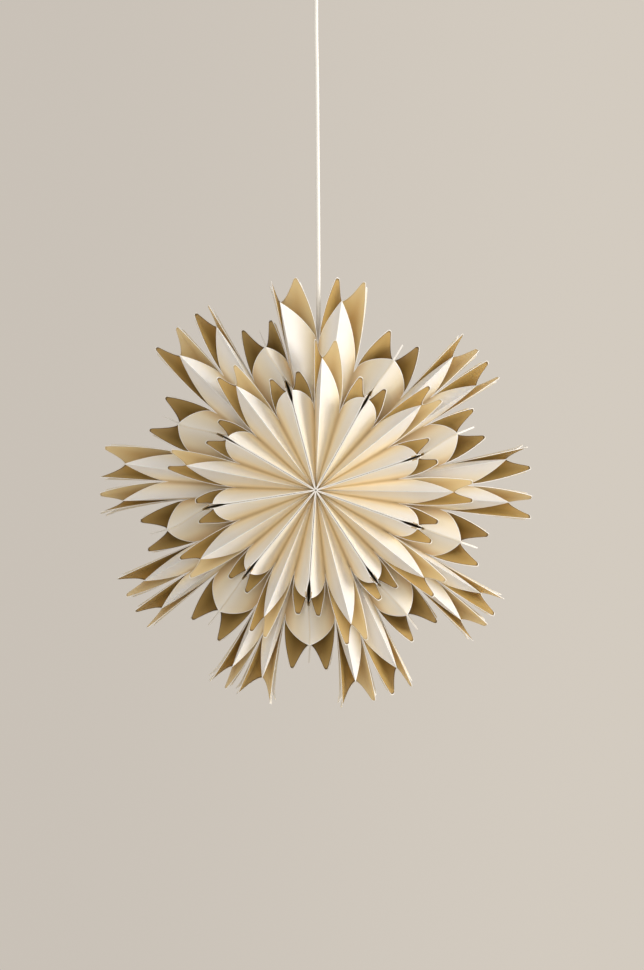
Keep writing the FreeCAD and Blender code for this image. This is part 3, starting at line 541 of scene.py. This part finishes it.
class Half:
    """One side of a tube: the angles of its corner and ear, and the distances of its cut edge.
    Soft is 0 for a creased ridge and 1 for a round one. A half tube that lies along a seam follows
    that seam's cover, and seam says how."""

    def __init__(self, ridge, corner, ear, radii, depths, soft, droop, seam=None):
        self.ridge, self.corner, self.ear = ridge, corner, ear
        self.tip, self.valley, self.ear_radius = radii
        self.crease = self.tip * CREASE_REACH
        self.near_depth, self.fold_depth, self.far_depth = depths
        self.soft, self.droop, self.seam = soft, droop, seam
        # How much of the painted bounce light a half tube takes all over
        self.cream = REAR_BOUNCE_SHARE if seam and self.near_depth < FRONT_DEPTH else 0.0
        # Far walls that face the key lamp get painted light, the paler paper lit through
        turn = math.radians(ear)
        towards = LIT_THROUGH_SIDE[0] * math.cos(turn) - LIT_THROUGH_SIDE[1] * math.sin(turn)
        self.lit_through = seam is None and towards * math.copysign(1, ear - ridge) > LIT_THROUGH_FROM
        self.blunt_tip()

    def blunt_tip(self):
        """The ear's tip is a small arc, and the curves beside it would meet at a peak further out."""
        rise, fall = (max(self.aside(azimuth), LEAST_WIDTH) for azimuth in (self.corner, self.ridge))
        self.tip_size = min(EAR_TIP, TIP_SHARE * min(rise, fall)) if rise > LEAST_WIDTH else 0.0
        self.arc_base = self.ear_radius - self.tip_size * TIP_LEAN
        climb, drop = 1 - self.tip_size / rise, 1 - self.tip_size / fall
        self.rise_peak = self.valley + (self.arc_base - self.valley) / climb ** RISE_POWER
        self.fall_peak = self.crease + (self.arc_base - self.crease) / drop ** FALL_POWER

    def aside(self, azimuth):
        """How far an angle lies beside the ear's tip, in millimetres."""
        return abs(math.radians(azimuth - self.ear)) * self.ear_radius

    def near(self, share):
        """Angle, cut radius and depth of the near wall; share is 0 at the ridge, 1 at the corner."""
        azimuth = self.ridge + (self.corner - self.ridge) * share
        pointed = (1 - share) ** ARCH_POWER
        arch = pointed + (math.sqrt(1 - share * share) - pointed) * self.soft
        cut = self.valley + (self.tip - self.valley) * arch
        crisp = 1 - math.sin(math.pi * share / 2)
        flat = (1 + math.cos(math.pi * share)) / 2
        fall = crisp + (flat - crisp) * self.soft
        depth = self.fold_depth + (self.near_depth - self.fold_depth) * fall
        return azimuth, azimuth, cut, depth

    def far(self, share):
        """The same for the far wall; share is 0 at the corner, 1 at the crease. The edge rises to
        the ear and falls off it."""
        inner = self.corner + (self.ridge - self.corner) * share
        depth = self.fold_depth + (self.far_depth - self.fold_depth) * share
        rise = share / EAR_SHARE
        fall = (share - EAR_SHARE) / (1 - EAR_SHARE)
        if rise <= 1:
            outer = self.corner + (self.ear - self.corner) * rise
            cut = self.valley + (self.rise_peak - self.valley) * rise ** RISE_POWER
        else:
            outer = self.ear + (self.ridge - self.ear) * fall
            cut = self.crease + (self.fall_peak - self.crease) * (1 - fall) ** FALL_POWER
        aside = self.aside(outer)
        if aside < self.tip_size:
            arc = math.sqrt(1 - (aside / self.tip_size) ** 2)
            cut = self.arc_base + (self.ear_radius - self.arc_base) * arc
        return inner, outer, cut, depth

    def lifted(self, depth, radius):
        """Near the pole the valleys are shallow, because their folds run straight to it."""
        if self.near_depth < FRONT_DEPTH:
            return depth
        shallow = 1 - min(POLE_FOLD + (1 - POLE_FOLD) * radius / self.valley, 1.0)
        if depth > self.fold_depth:
            return depth + (self.near_depth - depth) * shallow
        across = (depth - self.far_depth) / (self.fold_depth - self.far_depth)
        return depth + (self.near_depth - self.fold_depth) * shallow * across


def near_shares():
    """Shares of the near wall, evenly spaced."""
    return [i / NEAR_COLUMNS for i in range(NEAR_COLUMNS + 1)]


def far_shares():
    """Shares of the far wall, which crowd together towards the ear's tip."""
    rise = [1 - (1 - i / RISE_COLUMNS) ** COLUMN_CROWDING for i in range(1, RISE_COLUMNS + 1)]
    fall = [(i / FALL_COLUMNS) ** COLUMN_CROWDING for i in range(1, FALL_COLUMNS + 1)]
    return [EAR_SHARE * share for share in rise] + [EAR_SHARE + (1 - EAR_SHARE) * share for share in fall]


def half_columns(half):
    """The columns of one half tube, from its ridge round its corner to its crease."""
    near = [(half.near(s), s) for s in near_shares()]
    far = [(half.far(s), 1 - s) for s in far_shares()]
    return [Column(*values, half, fold) for values, fold in near + far]


def flat_strip(columns, rows):
    """A flat grid of columns by rows, which is copied for every sheet of its kind."""
    deselect()
    bpy.ops.mesh.primitive_grid_add(x_subdivisions=columns - 1, y_subdivisions=rows - 1, size=1)
    strip = bpy.context.object
    strip.data.uv_layers[0].name = "wall"
    bpy.context.collection.objects.unlink(strip)
    return strip


def sheet_from(strip):
    """A copy of a flat strip, with a mesh of its own, in the scene."""
    sheet = strip.copy()
    sheet.data = strip.data.copy()
    bpy.context.collection.objects.link(sheet)
    return sheet


HALF_STRIP = flat_strip(NEAR_COLUMNS + FAR_COLUMNS + 1, ROWS)
WHOLE_STRIP = flat_strip(2 * (NEAR_COLUMNS + FAR_COLUMNS) + 1, ROWS)
print("flat strips:", len(HALF_STRIP.data.polygons), "and", len(WHOLE_STRIP.data.polygons), "faces")


def fold_strip(strip, columns, facing):
    """A copy of a flat strip with its columns laid along the tube's walls."""
    tube = sheet_from(strip)
    count = len(columns)
    flat = np.array([v.co[:] for v in tube.data.vertices])
    column = np.rint((flat[:, 0] + 0.5) * (count - 1)).astype(int)
    row = np.rint((flat[:, 1] + 0.5) * (ROWS - 1)).astype(int)
    distance = np.zeros(len(flat))
    for i, vertex in enumerate(tube.data.vertices):
        inner, outer, cut, depth, half, fold = columns[column[i]]
        along = row[i] / (ROWS - 1)
        cut = drooped(cut, outer, half.droop)
        start = inner_radius(depth)
        radius = start + (cut - start) * along
        azimuth = inner + (outer - inner) * along ** FLARE_POWER
        if half.seam:
            azimuth += (half.seam.azimuth(radius, depth) - half.ridge) * (1 - fold)
        depth = half.lifted(depth, radius)
        vertex.co = star_point(azimuth, radius, depth, facing)
        distance[i] = (cut - radius) * MM
    mark_walls(tube, [columns[i] for i in column], distance)
    return tube


def mark_walls(tube, places, distance):
    """Writes the UV map `wall`, and gives the far walls that face the key lamp's side the paler paper,
    painted light for the lamp shining through.
    """
    layer = tube.data.uv_layers["wall"].data
    for loop in tube.data.loops:
        place = places[loop.vertex_index]
        cream = place.half.cream
        layer[loop.index].uv = (cream + (1 - cream) * place.fold, distance[loop.vertex_index])
    for face in tube.data.polygons:
        corners = [places[v] for v in face.vertices]
        half = max(corners, key=lambda corner: corner.fold).half
        if half.lit_through and sum(corner.depth for corner in corners) / len(corners) < half.fold_depth:
            # Painted light: these faces take the paler paper lit through
            face.material_index = len(PAPER)


def finish_tube(tube, facing, closed):
    """Turns a tube's faces outwards, joins a whole tube's two creases and thickens the paper."""
    inwards = tube.data.polygons[0].normal.y * facing > 0
    select_only(tube)
    bpy.ops.object.mode_set(mode="EDIT")
    bpy.ops.mesh.select_all(action="SELECT")
    if closed:
        bpy.ops.mesh.remove_doubles(threshold=MERGE_DISTANCE)
    if inwards:
        bpy.ops.mesh.flip_normals()
    bpy.ops.object.mode_set(mode="OBJECT")
    for paper in PAPER + LIT_THROUGH_PAPER:
        tube.data.materials.append(paper)
    thicken(tube, PAPER_THICK, -1)
    return tube


# %% [markdown]
# ## Seams between the leaves
# Each leaf ends in a flat cover, and the covers of two neighbours stand back to back. They part a
# little at the front and at the back, most at the tips of the first tubes, where the picture
# shows a slim black gap, and they close towards the middle plane. One function gives a cover's
# angle at any place, and the half tubes beside it use the same function, so they stay joined.

# %% Seams
# The widest gap as a share of what the folds leave open, and half the slit elsewhere
GAP_SHARE = 0.72
SLIT = 0.3
OUTER_SLIT = 0.1
LENS_START = 96.0
LENS_PEAK = 114.0
LENS_END = 131.0
TURN_START = 116.0
TURN_END = 168.0
POLE_REACH = 6.0
CLOSED_DEPTH = 15.0
OPEN_DEPTH = 45.0


def smooth_step(amount, low, high):
    """0 up to low and 1 from high on, with a soft start and end."""
    share = min(max((amount - low) / (high - low), 0.0), 1.0)
    return share * share * (3 - 2 * share)


class Seam:
    """A leaf's cover: its side of the seam, where the seam lies in front and behind, and how far
    its edge stands off the seam at the gap's widest place."""

    def __init__(self, side, front, rear, gap):
        self.side, self.front, self.rear, self.gap = side, front, rear, gap

    def azimuth(self, radius, depth):
        """The cover's angle at a distance from the axis and a depth."""
        lens = smooth_step(radius, LENS_START, LENS_PEAK) * (1 - smooth_step(radius, LENS_PEAK, LENS_END))
        opening = smooth_step(abs(depth), CLOSED_DEPTH, OPEN_DEPTH)
        slit = SLIT + (OUTER_SLIT - SLIT) * smooth_step(radius, LENS_PEAK, LENS_END)
        gap = COVER_THICK / 2 + (slit + (self.gap - slit) * lens) * opening
        turn = smooth_step(radius, TURN_START, TURN_END)
        middle = self.front + (self.rear - self.front) * turn
        return middle + self.side * math.degrees(gap / max(radius, POLE_REACH))


def leaf_seams(number):
    """The seams at the start and at the end of a leaf. Angles that meet over the top of the star
    are brought to the same turn first."""
    before, after = (number - 1) % LEAF_COUNT, (number + 1) % LEAF_COUNT
    seams = []
    for side, first, second in ((1, before, number), (-1, number, after)):
        end, start = FRONT_FOLDS[first][-1], FRONT_FOLDS[second][0]
        rear = REAR_FOLDS[number][0] if side > 0 else REAR_FOLDS[number][-1]
        if end - start > 180:
            end, start = (end - 360, start) if side > 0 else (end, start + 360)
        middle = (start + end) / 2
        gap = math.radians(start - end) / 2 * FRONT_SIDE_TIP * GAP_SHARE
        seams.append(Seam(side, middle, rear, gap))
    return seams


for number in range(LEAF_COUNT):
    seam = leaf_seams(number)[0]
    print(f"seam {number + 1}: {seam.front:.1f} in front, {seam.rear:.1f} behind, "
          f"gap {2 * seam.gap:.1f} mm")

# %% [markdown]
# ## The leaves
# A leaf's tubes are joined into one piece for its front and one for its back. The ridge of a whole
# tube is a crease, and the half tubes beside a seam have rounder walls, in front more than behind.

# %% Leaves
def whole_tube(first, second, facing):
    """A closed tube from its two halves, which share a ridge and a crease."""
    columns = half_columns(first) + half_columns(second)[::-1][1:]
    return finish_tube(fold_strip(WHOLE_STRIP, columns, facing), facing, True)


def half_tube(half, facing):
    """An open tube beside a seam, which the leaf's cover closes."""
    return finish_tube(fold_strip(HALF_STRIP, half_columns(half), facing), facing, False)


FRONT_DEPTHS = (FRONT_DEPTH, FRONT_VALLEY_DEPTH, MIDDLE_DEPTH)
REAR_DEPTHS = (MIDDLE_DEPTH, REAR_VALLEY_DEPTH, 0.0)
FRONT_SOFT = 0.8
REAR_SOFT = 0.5
CREASED = 0.0
BACK_EAR_TURN = 0.75


def leaf_halves(number, facing):
    """Every half tube of a leaf, from the front's first to the rear's last. The ears at the back
    lean a little further out, so that some of them show beside those in front."""
    seam_a, seam_b = leaf_seams(number)
    tip_a, ear_a, valley_a, ear_b, ridge, ear_c, valley_b, ear_d, tip_b = FRONT_FOLDS[number]
    side = (FRONT_SIDE_TIP, FRONT_VALLEY, FRONT_SIDE_EAR)
    middle = (FRONT_TIP, FRONT_VALLEY, FRONT_EAR)
    front = [
        Half(tip_a, valley_a, ear_a, side, FRONT_DEPTHS, FRONT_SOFT, FRONT_DROOP, seam_a),
        Half(ridge, valley_a, ear_b, middle, FRONT_DEPTHS, CREASED, FRONT_DROOP),
        Half(ridge, valley_b, ear_c, middle, FRONT_DEPTHS, CREASED, FRONT_DROOP),
        Half(tip_b, valley_b, ear_d, side, FRONT_DEPTHS, FRONT_SOFT, FRONT_DROOP, seam_b),
    ]
    tip_a, ear_a, valley_a, ear_b, first, ear_c, notch, ear_d, second, ear_e, valley_b, ear_f, tip_b = (
        REAR_FOLDS[number])
    side = (REAR_SIDE_TIP, REAR_VALLEY, REAR_SIDE_EAR)
    outer = (PAIR_TIP, REAR_VALLEY, PAIR_EAR)
    inner = (PAIR_TIP, PAIR_VALLEY, PAIR_EAR)
    rear = [
        Half(tip_a, valley_a, ear_a, side, REAR_DEPTHS, REAR_SOFT, REAR_DROOP, seam_a),
        Half(first, valley_a, ear_b, outer, REAR_DEPTHS, CREASED, REAR_DROOP),
        Half(first, notch, ear_c, inner, REAR_DEPTHS, CREASED, REAR_DROOP),
        Half(second, notch, ear_d, inner, REAR_DEPTHS, CREASED, REAR_DROOP),
        Half(second, valley_b, ear_e, outer, REAR_DEPTHS, CREASED, REAR_DROOP),
        Half(tip_b, valley_b, ear_f, side, REAR_DEPTHS, REAR_SOFT, REAR_DROOP, seam_b),
    ]
    if facing < 0:
        for half in front + rear:
            half.ear += math.copysign(BACK_EAR_TURN, half.ear - half.ridge)
            half.blunt_tip()
    return front, rear


def leaf_tubes(number, facing):
    """The seven tubes of a leaf's front or back."""
    front, rear = leaf_halves(number, facing)
    return [
        half_tube(front[0], facing),
        whole_tube(front[1], front[2], facing),
        half_tube(front[3], facing),
        half_tube(rear[0], facing),
        whole_tube(rear[1], rear[2], facing),
        whole_tube(rear[3], rear[4], facing),
        half_tube(rear[5], facing),
    ]


for number in range(LEAF_COUNT):
    for facing, place in ((1, "front"), (-1, "back")):
        leaf = join(leaf_tubes(number, facing), f"leaf_{number + 1}_{place}_paper")
        smooth(leaf, SMOOTH_ANGLE)
        hand_over(leaf, "star", "star_paper", f"leaf_{number + 1}_{place}_cells")
    print(f"leaf {number + 1}: {len(leaf.data.polygons)} faces a side")

# %% [markdown]
# ### Covers
# Seen from the side, a cover has the tubes' outline: a low step with a slight ear beside the first
# tubes, and a high one with a larger ear beside those behind. Each step is a flat grid, bent along
# the seam, and a cover is joined from two steps in front and two at the back.

# %% Covers
COVER_PROUD = 1.2
# A cover has no valley, so its U is the same all over, and it takes part of the painted bounce light
COVER_BOUNCE_SHARE = 0.6
FIRST_EAR_DEPTH = 81.0
SECOND_EAR_DEPTH = 20.0
FIRST_STEP = 112.0
STEP_RIM_DEPTH = MIDDLE_DEPTH - 2
COVER_COLUMNS = 18
COVER_FRONT = FRONT_DEPTH + COVER_PROUD
COVER_ROWS = (
    (COVER_FRONT, 106.0, 98.0, 90.0, 84.0, FIRST_EAR_DEPTH, 78.0, 74.0, 70.2, 69.6),
    (69.4, 62.0, 54.0, 46.0, 38.0, 30.0, 24.0, SECOND_EAR_DEPTH, 16.0, 10.0, 4.0, 0.0),
)
# The outline of each step as pairs of a depth and a distance from the axis
COVER_EDGES = (
    ((69.0, FIRST_STEP), (FIRST_EAR_DEPTH - 4, 119.0), (FIRST_EAR_DEPTH, 122.0),
     (FIRST_EAR_DEPTH + 5, 120.5), (FRONT_DEPTH, FRONT_SIDE_TIP), (COVER_FRONT, FRONT_SIDE_TIP)),
    ((0.0, REAR_SIDE_TIP), (SECOND_EAR_DEPTH - 8, 184.0), (SECOND_EAR_DEPTH, REAR_SIDE_EAR - 8),
     (SECOND_EAR_DEPTH + 8, 194.0), (MIDDLE_DEPTH, REAR_SIDE_TIP)),
)
COVER_DROOPS = (FRONT_DROOP, REAR_DROOP)
COVER_STRIPS = [flat_strip(COVER_COLUMNS, len(rows)) for rows in COVER_ROWS]


def half_cover(seam, step, facing):
    """One step of a cover, in front or at the back; step is 0 for the low one."""
    rows = COVER_ROWS[step]
    sheet = sheet_from(COVER_STRIPS[step])
    depths, radii = zip(*COVER_EDGES[step])
    edge_distance = []
    for vertex in sheet.data.vertices:
        depth = rows[round((vertex.co.y + 0.5) * (len(rows) - 1))]
        cut = drooped(float(np.interp(depth, depths, radii)), seam.front, COVER_DROOPS[step])
        start = inner_radius(depth)
        radius = start + (cut - start) * (vertex.co.x + 0.5)
        edge_distance.append((cut - radius) * MM)
        vertex.co = star_point(seam.azimuth(radius, depth), radius, depth, facing)
    layer = sheet.data.uv_layers["wall"].data
    for loop in sheet.data.loops:
        layer[loop.index].uv = (COVER_BOUNCE_SHARE, edge_distance[loop.vertex_index])
    return sheet


def quieten_rims(cover):
    """Beyond the first tubes a cover's front rim is no bright line: in the slim gap it takes the brown
    inside paper as painted shade, and further out it is as white as the walls beside it."""
    for face in cover.data.polygons:
        place = (face.center - STAR_CENTRE) / MM
        reach = math.hypot(place.x, place.z)
        if face.material_index == EDGE and abs(place.y) > STEP_RIM_DEPTH and reach > FIRST_STEP:
            # Painted shade: in the slim gap the rim takes the brown inside paper
            face.material_index = INSIDE if reach < LENS_END else OUTSIDE


def cover_sheet(seam):
    """A cover from its four steps, with its white side turned away from its own leaf."""
    steps = [half_cover(seam, step, facing) for step in (0, 1) for facing in (1, -1)]
    cover = join(steps, "cover")
    select_only(cover)
    bpy.ops.object.mode_set(mode="EDIT")
    bpy.ops.mesh.select_all(action="SELECT")
    bpy.ops.mesh.remove_doubles(threshold=MERGE_DISTANCE)
    bpy.ops.mesh.normals_make_consistent(inside=False)
    bpy.ops.object.mode_set(mode="OBJECT")
    turn = math.radians(seam.rear)
    outwards = Vector((math.cos(turn), 0, -math.sin(turn))) * -seam.side
    if sum(face.normal.dot(outwards) * face.area for face in cover.data.polygons) < 0:
        bpy.ops.object.mode_set(mode="EDIT")
        bpy.ops.mesh.flip_normals()
        bpy.ops.object.mode_set(mode="OBJECT")
    return cover


def cover_paper(number):
    """Both covers of a leaf, with their materials and the paper's thickness."""
    covers = []
    for seam in leaf_seams(number):
        cover = cover_sheet(seam)
        for paper in PAPER:
            cover.data.materials.append(paper)
        thicken(cover, COVER_THICK, 0)
        quieten_rims(cover)
        covers.append(cover)
    return join(covers, f"leaf_{number + 1}_covers_paper")


for number in range(LEAF_COUNT):
    covers = cover_paper(number)
    smooth(covers, SMOOTH_ANGLE)
    hand_over(covers, "star", "star_paper", f"leaf_{number + 1}_covers")
print("covers:", len(covers.data.polygons), "faces a leaf")

# %% [markdown]
# ## The cord
# The star hangs on one white round cord, which the weight pulls nearly straight: it only bows a few
# millimetres to one side between the canopy and the holder. Its line is a smooth curve guided by a
# few points, and a ring swept along that line gives the sheath. The line is read off the same
# curve before it has any thickness, so that both agree.

# %% Cord
CORD_DIAMETER = 0.005
CORD_SMOOTH_ANGLE = 60
CORD_ROUTE = (
    (0.0, -0.047), (0.0, -0.075), (0.0, -0.105), (0.0003, -0.135), (0.0009, -0.165), (0.0014, -0.215),
    (0.0018, -0.27), (0.0024, -0.34), (0.0028, -0.41), (0.0028, -0.47), (0.0018, -0.525),
    (0.0004, -0.562), (0.0, -0.584), (0.0, -0.6),
)


def smooth_line(name, route):
    """A curve object along a route in the plane of the picture."""
    deselect()
    line = bpy.data.curves.new(name, "CURVE")
    line.dimensions = "3D"
    spline = line.splines.new("NURBS")
    spline.points.add(len(route) - 1)
    for point, (x, z) in zip(spline.points, route):
        point.co = (x, 0.0, z, 1.0)
    spline.order_u = 3
    spline.use_endpoint_u = True
    spline.resolution_u = 8
    item = bpy.data.objects.new(name, line)
    bpy.context.collection.objects.link(item)
    return item


cord = smooth_line("cord", CORD_ROUTE)
thin = bpy.data.meshes.new_from_object(cord)
cord.data.bevel_depth = CORD_DIAMETER / 2
cord.data.bevel_resolution = 5
cord.data.use_fill_caps = True
select_only(cord)
bpy.ops.object.convert(target="MESH")
cord = bpy.context.object
smooth(cord, CORD_SMOOTH_ANGLE)


def sheath():
    """Smooth white plastic with a faint mottle."""
    item, tree, shader = material("cord_sheath")
    grains, mottle = add_grain(tree, 2600.0, 55.0)
    paint(tree, shader, mix(tree, mottle, (0.90, 0.885, 0.85, 1), (0.84, 0.82, 0.78, 1)))
    tree.links.new(scaled(tree, grains, 0.12, 0.34), shader.inputs["Roughness"])
    relief(tree, shader, grains, 0.05, 0.0002)
    return item


cord.data.materials.append(sheath())
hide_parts("cord_upper", "cord_lower")
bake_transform(cord)

# %% [markdown]
# ## Holder, bulb and ceiling fitting
# These pieces keep the shapes that the frame gave them, and each gets the finish of the real thing.
# Plastic and paint share one recipe: a colour with a slow mottle, and a fine skin in the bump.
# Metal adds drawn lines, which are noise stretched along one axis.


# %% Hard finishes
def coated(name, light, dark, rough, fine, strength, coat=0.0):
    """Plastic, paint, porcelain or opal glass: colour between two tones, and a fine skin."""
    item, tree, shader = material(name)
    grains, mottle = add_grain(tree, fine, 26.0)
    paint(tree, shader, mix(tree, mottle, light, dark))
    tree.links.new(scaled(tree, mottle, 0.12, rough - 0.06), shader.inputs["Roughness"])
    shader.inputs["Coat Weight"].default_value = coat
    shader.inputs["Coat Roughness"].default_value = 0.08
    relief(tree, shader, grains, strength, 0.0004)
    return item


def metal(name, light, dark, rough, stretch):
    """Bare or plated metal with lines drawn along one axis."""
    item, tree, shader = material(name)
    place = node(tree, "ShaderNodeTexCoord").outputs["Object"]
    drawn = node(tree, "ShaderNodeMapping", Vector=place, Scale=stretch)
    lines = node(tree, "ShaderNodeTexNoise", Vector=drawn.outputs["Vector"], Scale=900.0, Detail=4.0)
    grains, mottle = add_grain(tree, 1800.0, 90.0)
    paint(tree, shader, mix(tree, mottle, light, dark))
    shader.inputs["Metallic"].default_value = 1.0
    worn = scaled(tree, lines.outputs["Fac"], 0.22, rough - 0.1)
    tree.links.new(worn, shader.inputs["Roughness"])
    relief(tree, shader, lines.outputs["Fac"], 0.12, 0.0002)
    return item


# %% Finishes of the frame's own pieces
def dress(finish, *names):
    """Gives pieces of the frame a finish, in a new slot where they have none."""
    for name in names:
        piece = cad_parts[name]
        if not piece.material_slots:
            piece.data.materials.append(finish)
        for slot in piece.material_slots:
            slot.material = finish
    print(f"{finish.name}:", ", ".join(names))


dress(coated("white_paint", (0.86, 0.85, 0.82, 1), (0.82, 0.81, 0.78, 1),
             rough=0.42, fine=1500.0, strength=0.22, coat=0.3),
      "canopy")
dress(coated("white_plastic", (0.85, 0.84, 0.81, 1), (0.80, 0.79, 0.75, 1),
             rough=0.36, fine=2400.0, strength=0.08),
      "canopy_grip", "cord_grip_nut", "holder_cap", "holder_skirt", "shade_ring_lower",
      "shade_ring_upper", "terminal_block")
dress(coated("porcelain", (0.88, 0.87, 0.83, 1), (0.83, 0.81, 0.76, 1),
             rough=0.2, fine=900.0, strength=0.04, coat=0.7),
      "holder_core")
dress(coated("opal_glass", (0.92, 0.91, 0.88, 1), (0.89, 0.88, 0.84, 1),
             rough=0.16, fine=700.0, strength=0.02, coat=0.8),
      "bulb_globe")
dress(coated("bulb_plastic", (0.87, 0.87, 0.85, 1), (0.83, 0.83, 0.80, 1),
             rough=0.33, fine=2000.0, strength=0.06),
      "bulb_collar")
dress(metal("zinc_steel", (0.72, 0.73, 0.74, 1), (0.58, 0.59, 0.60, 1), rough=0.34, stretch=(1, 1, 0.08)),
      "ceiling_bracket", "ceiling_hook", "cord_hanger", "hanger_screw", "canopy_screw",
      "star_carrier", "closing_clips")
dress(metal("brass", (0.80, 0.60, 0.28, 1), (0.66, 0.47, 0.20, 1), rough=0.3, stretch=(1, 1, 0.1)),
      "thread_shell", "centre_contact", "terminal_screws")
dress(metal("cap_metal", (0.76, 0.74, 0.70, 1), (0.60, 0.57, 0.52, 1), rough=0.28, stretch=(0.1, 0.1, 1)),
      "bulb_cap", "bulb_contact")
dress(coated("lead_sheath", (0.16, 0.27, 0.50, 1), (0.12, 0.21, 0.42, 1),
             rough=0.38, fine=2600.0, strength=0.06),
      "supply_leads")

# %% [markdown]
# ## Floor, lights and surroundings
# A pale floor lies well below the star and catches its shadow. The key lamp stands on the right
# and a little in front, and a broad, weaker lamp in front fills the shadows. The surroundings
# light the paper evenly, in a warm white. The backdrop is another colour of theirs, for rays from
# the camera, reflections and glass alone, and is a little darker on the left.

# %% Floor
FLOOR_DROP = 1.9
FLOOR_RADIUS = 2.4
deselect()
bpy.ops.mesh.primitive_circle_add(vertices=128, radius=FLOOR_RADIUS, fill_type="NGON", location=(0, 0, 0))
floor = bpy.context.object
floor.name = "floor"
floor.location.z = -FLOOR_DROP
apply_place(floor)


def floor_paint():
    """Matt paint with a slow, faint mottle."""
    item, tree, shader = material("floor_paint")
    grains, mottle = add_grain(tree, 320.0, 2.5)
    paint(tree, shader, mix(tree, mottle, (0.62, 0.585, 0.53, 1), (0.585, 0.55, 0.495, 1)))
    shader.inputs["Roughness"].default_value = 0.85
    relief(tree, shader, grains, 0.05, 0.001)
    return item


floor.data.materials.append(floor_paint())

# %% Lights
def area_light(name, place, size, power, colour):
    """A round lamp that points at the star."""
    deselect()
    bpy.ops.object.light_add(type="AREA", location=place)
    lamp = bpy.context.object
    lamp.name = name
    lamp.data.shape = "DISK"
    lamp.data.size = size
    lamp.data.energy = power
    lamp.data.color = colour
    lamp.rotation_euler = (STAR_CENTRE - Vector(place)).to_track_quat("-Z", "Y").to_euler()
    print(f"{name}: {power} W")


area_light("key_light", place=(2.5, -0.85, -0.2), size=1.4, power=58, colour=(1.0, 0.96, 0.90))
area_light("fill_light", place=(-0.4, -3.0, -0.3), size=2.0, power=29, colour=(1.0, 0.965, 0.92))

# %% Surroundings
BACKDROP_LEFT = (0.585, 0.535, 0.475, 1)
BACKDROP_RIGHT = (0.652, 0.597, 0.525, 1)
BACKDROP_REACH = 0.17
SURROUND = (1.0, 0.945, 0.865, 1)
SURROUND_STRENGTH = 0.54

world = bpy.data.worlds.new("surround")
bpy.context.scene.world = world
world.use_nodes = True
tree = world.node_tree
surround = tree.nodes["Background"]
surround.inputs["Color"].default_value = SURROUND
surround.inputs["Strength"].default_value = SURROUND_STRENGTH
direction = node(tree, "ShaderNodeTexCoord").outputs["Generated"]
across = node(tree, "ShaderNodeSeparateXYZ", Vector=direction)
share = fade(tree, across.outputs["X"], -BACKDROP_REACH, BACKDROP_REACH)
backdrop_colour = mix(tree, share, BACKDROP_LEFT, BACKDROP_RIGHT)
backdrop = node(tree, "ShaderNodeBackground", Color=backdrop_colour, Strength=1.0)
rays = node(tree, "ShaderNodeLightPath")
seen = calculate(tree, "MAXIMUM", rays.outputs["Is Camera Ray"], rays.outputs["Is Glossy Ray"])
seen = calculate(tree, "MAXIMUM", seen, rays.outputs["Is Transmission Ray"])
choice = node(tree, "ShaderNodeMixShader")
tree.links.new(seen, choice.inputs["Fac"])
tree.links.new(surround.outputs["Background"], choice.inputs[1])
tree.links.new(backdrop.outputs["Background"], choice.inputs[2])
tree.links.new(choice.outputs["Shader"], tree.nodes["World Output"].inputs["Surface"])

bpy.context.scene.view_settings.view_transform = "Standard"
print("surroundings at", SURROUND_STRENGTH)
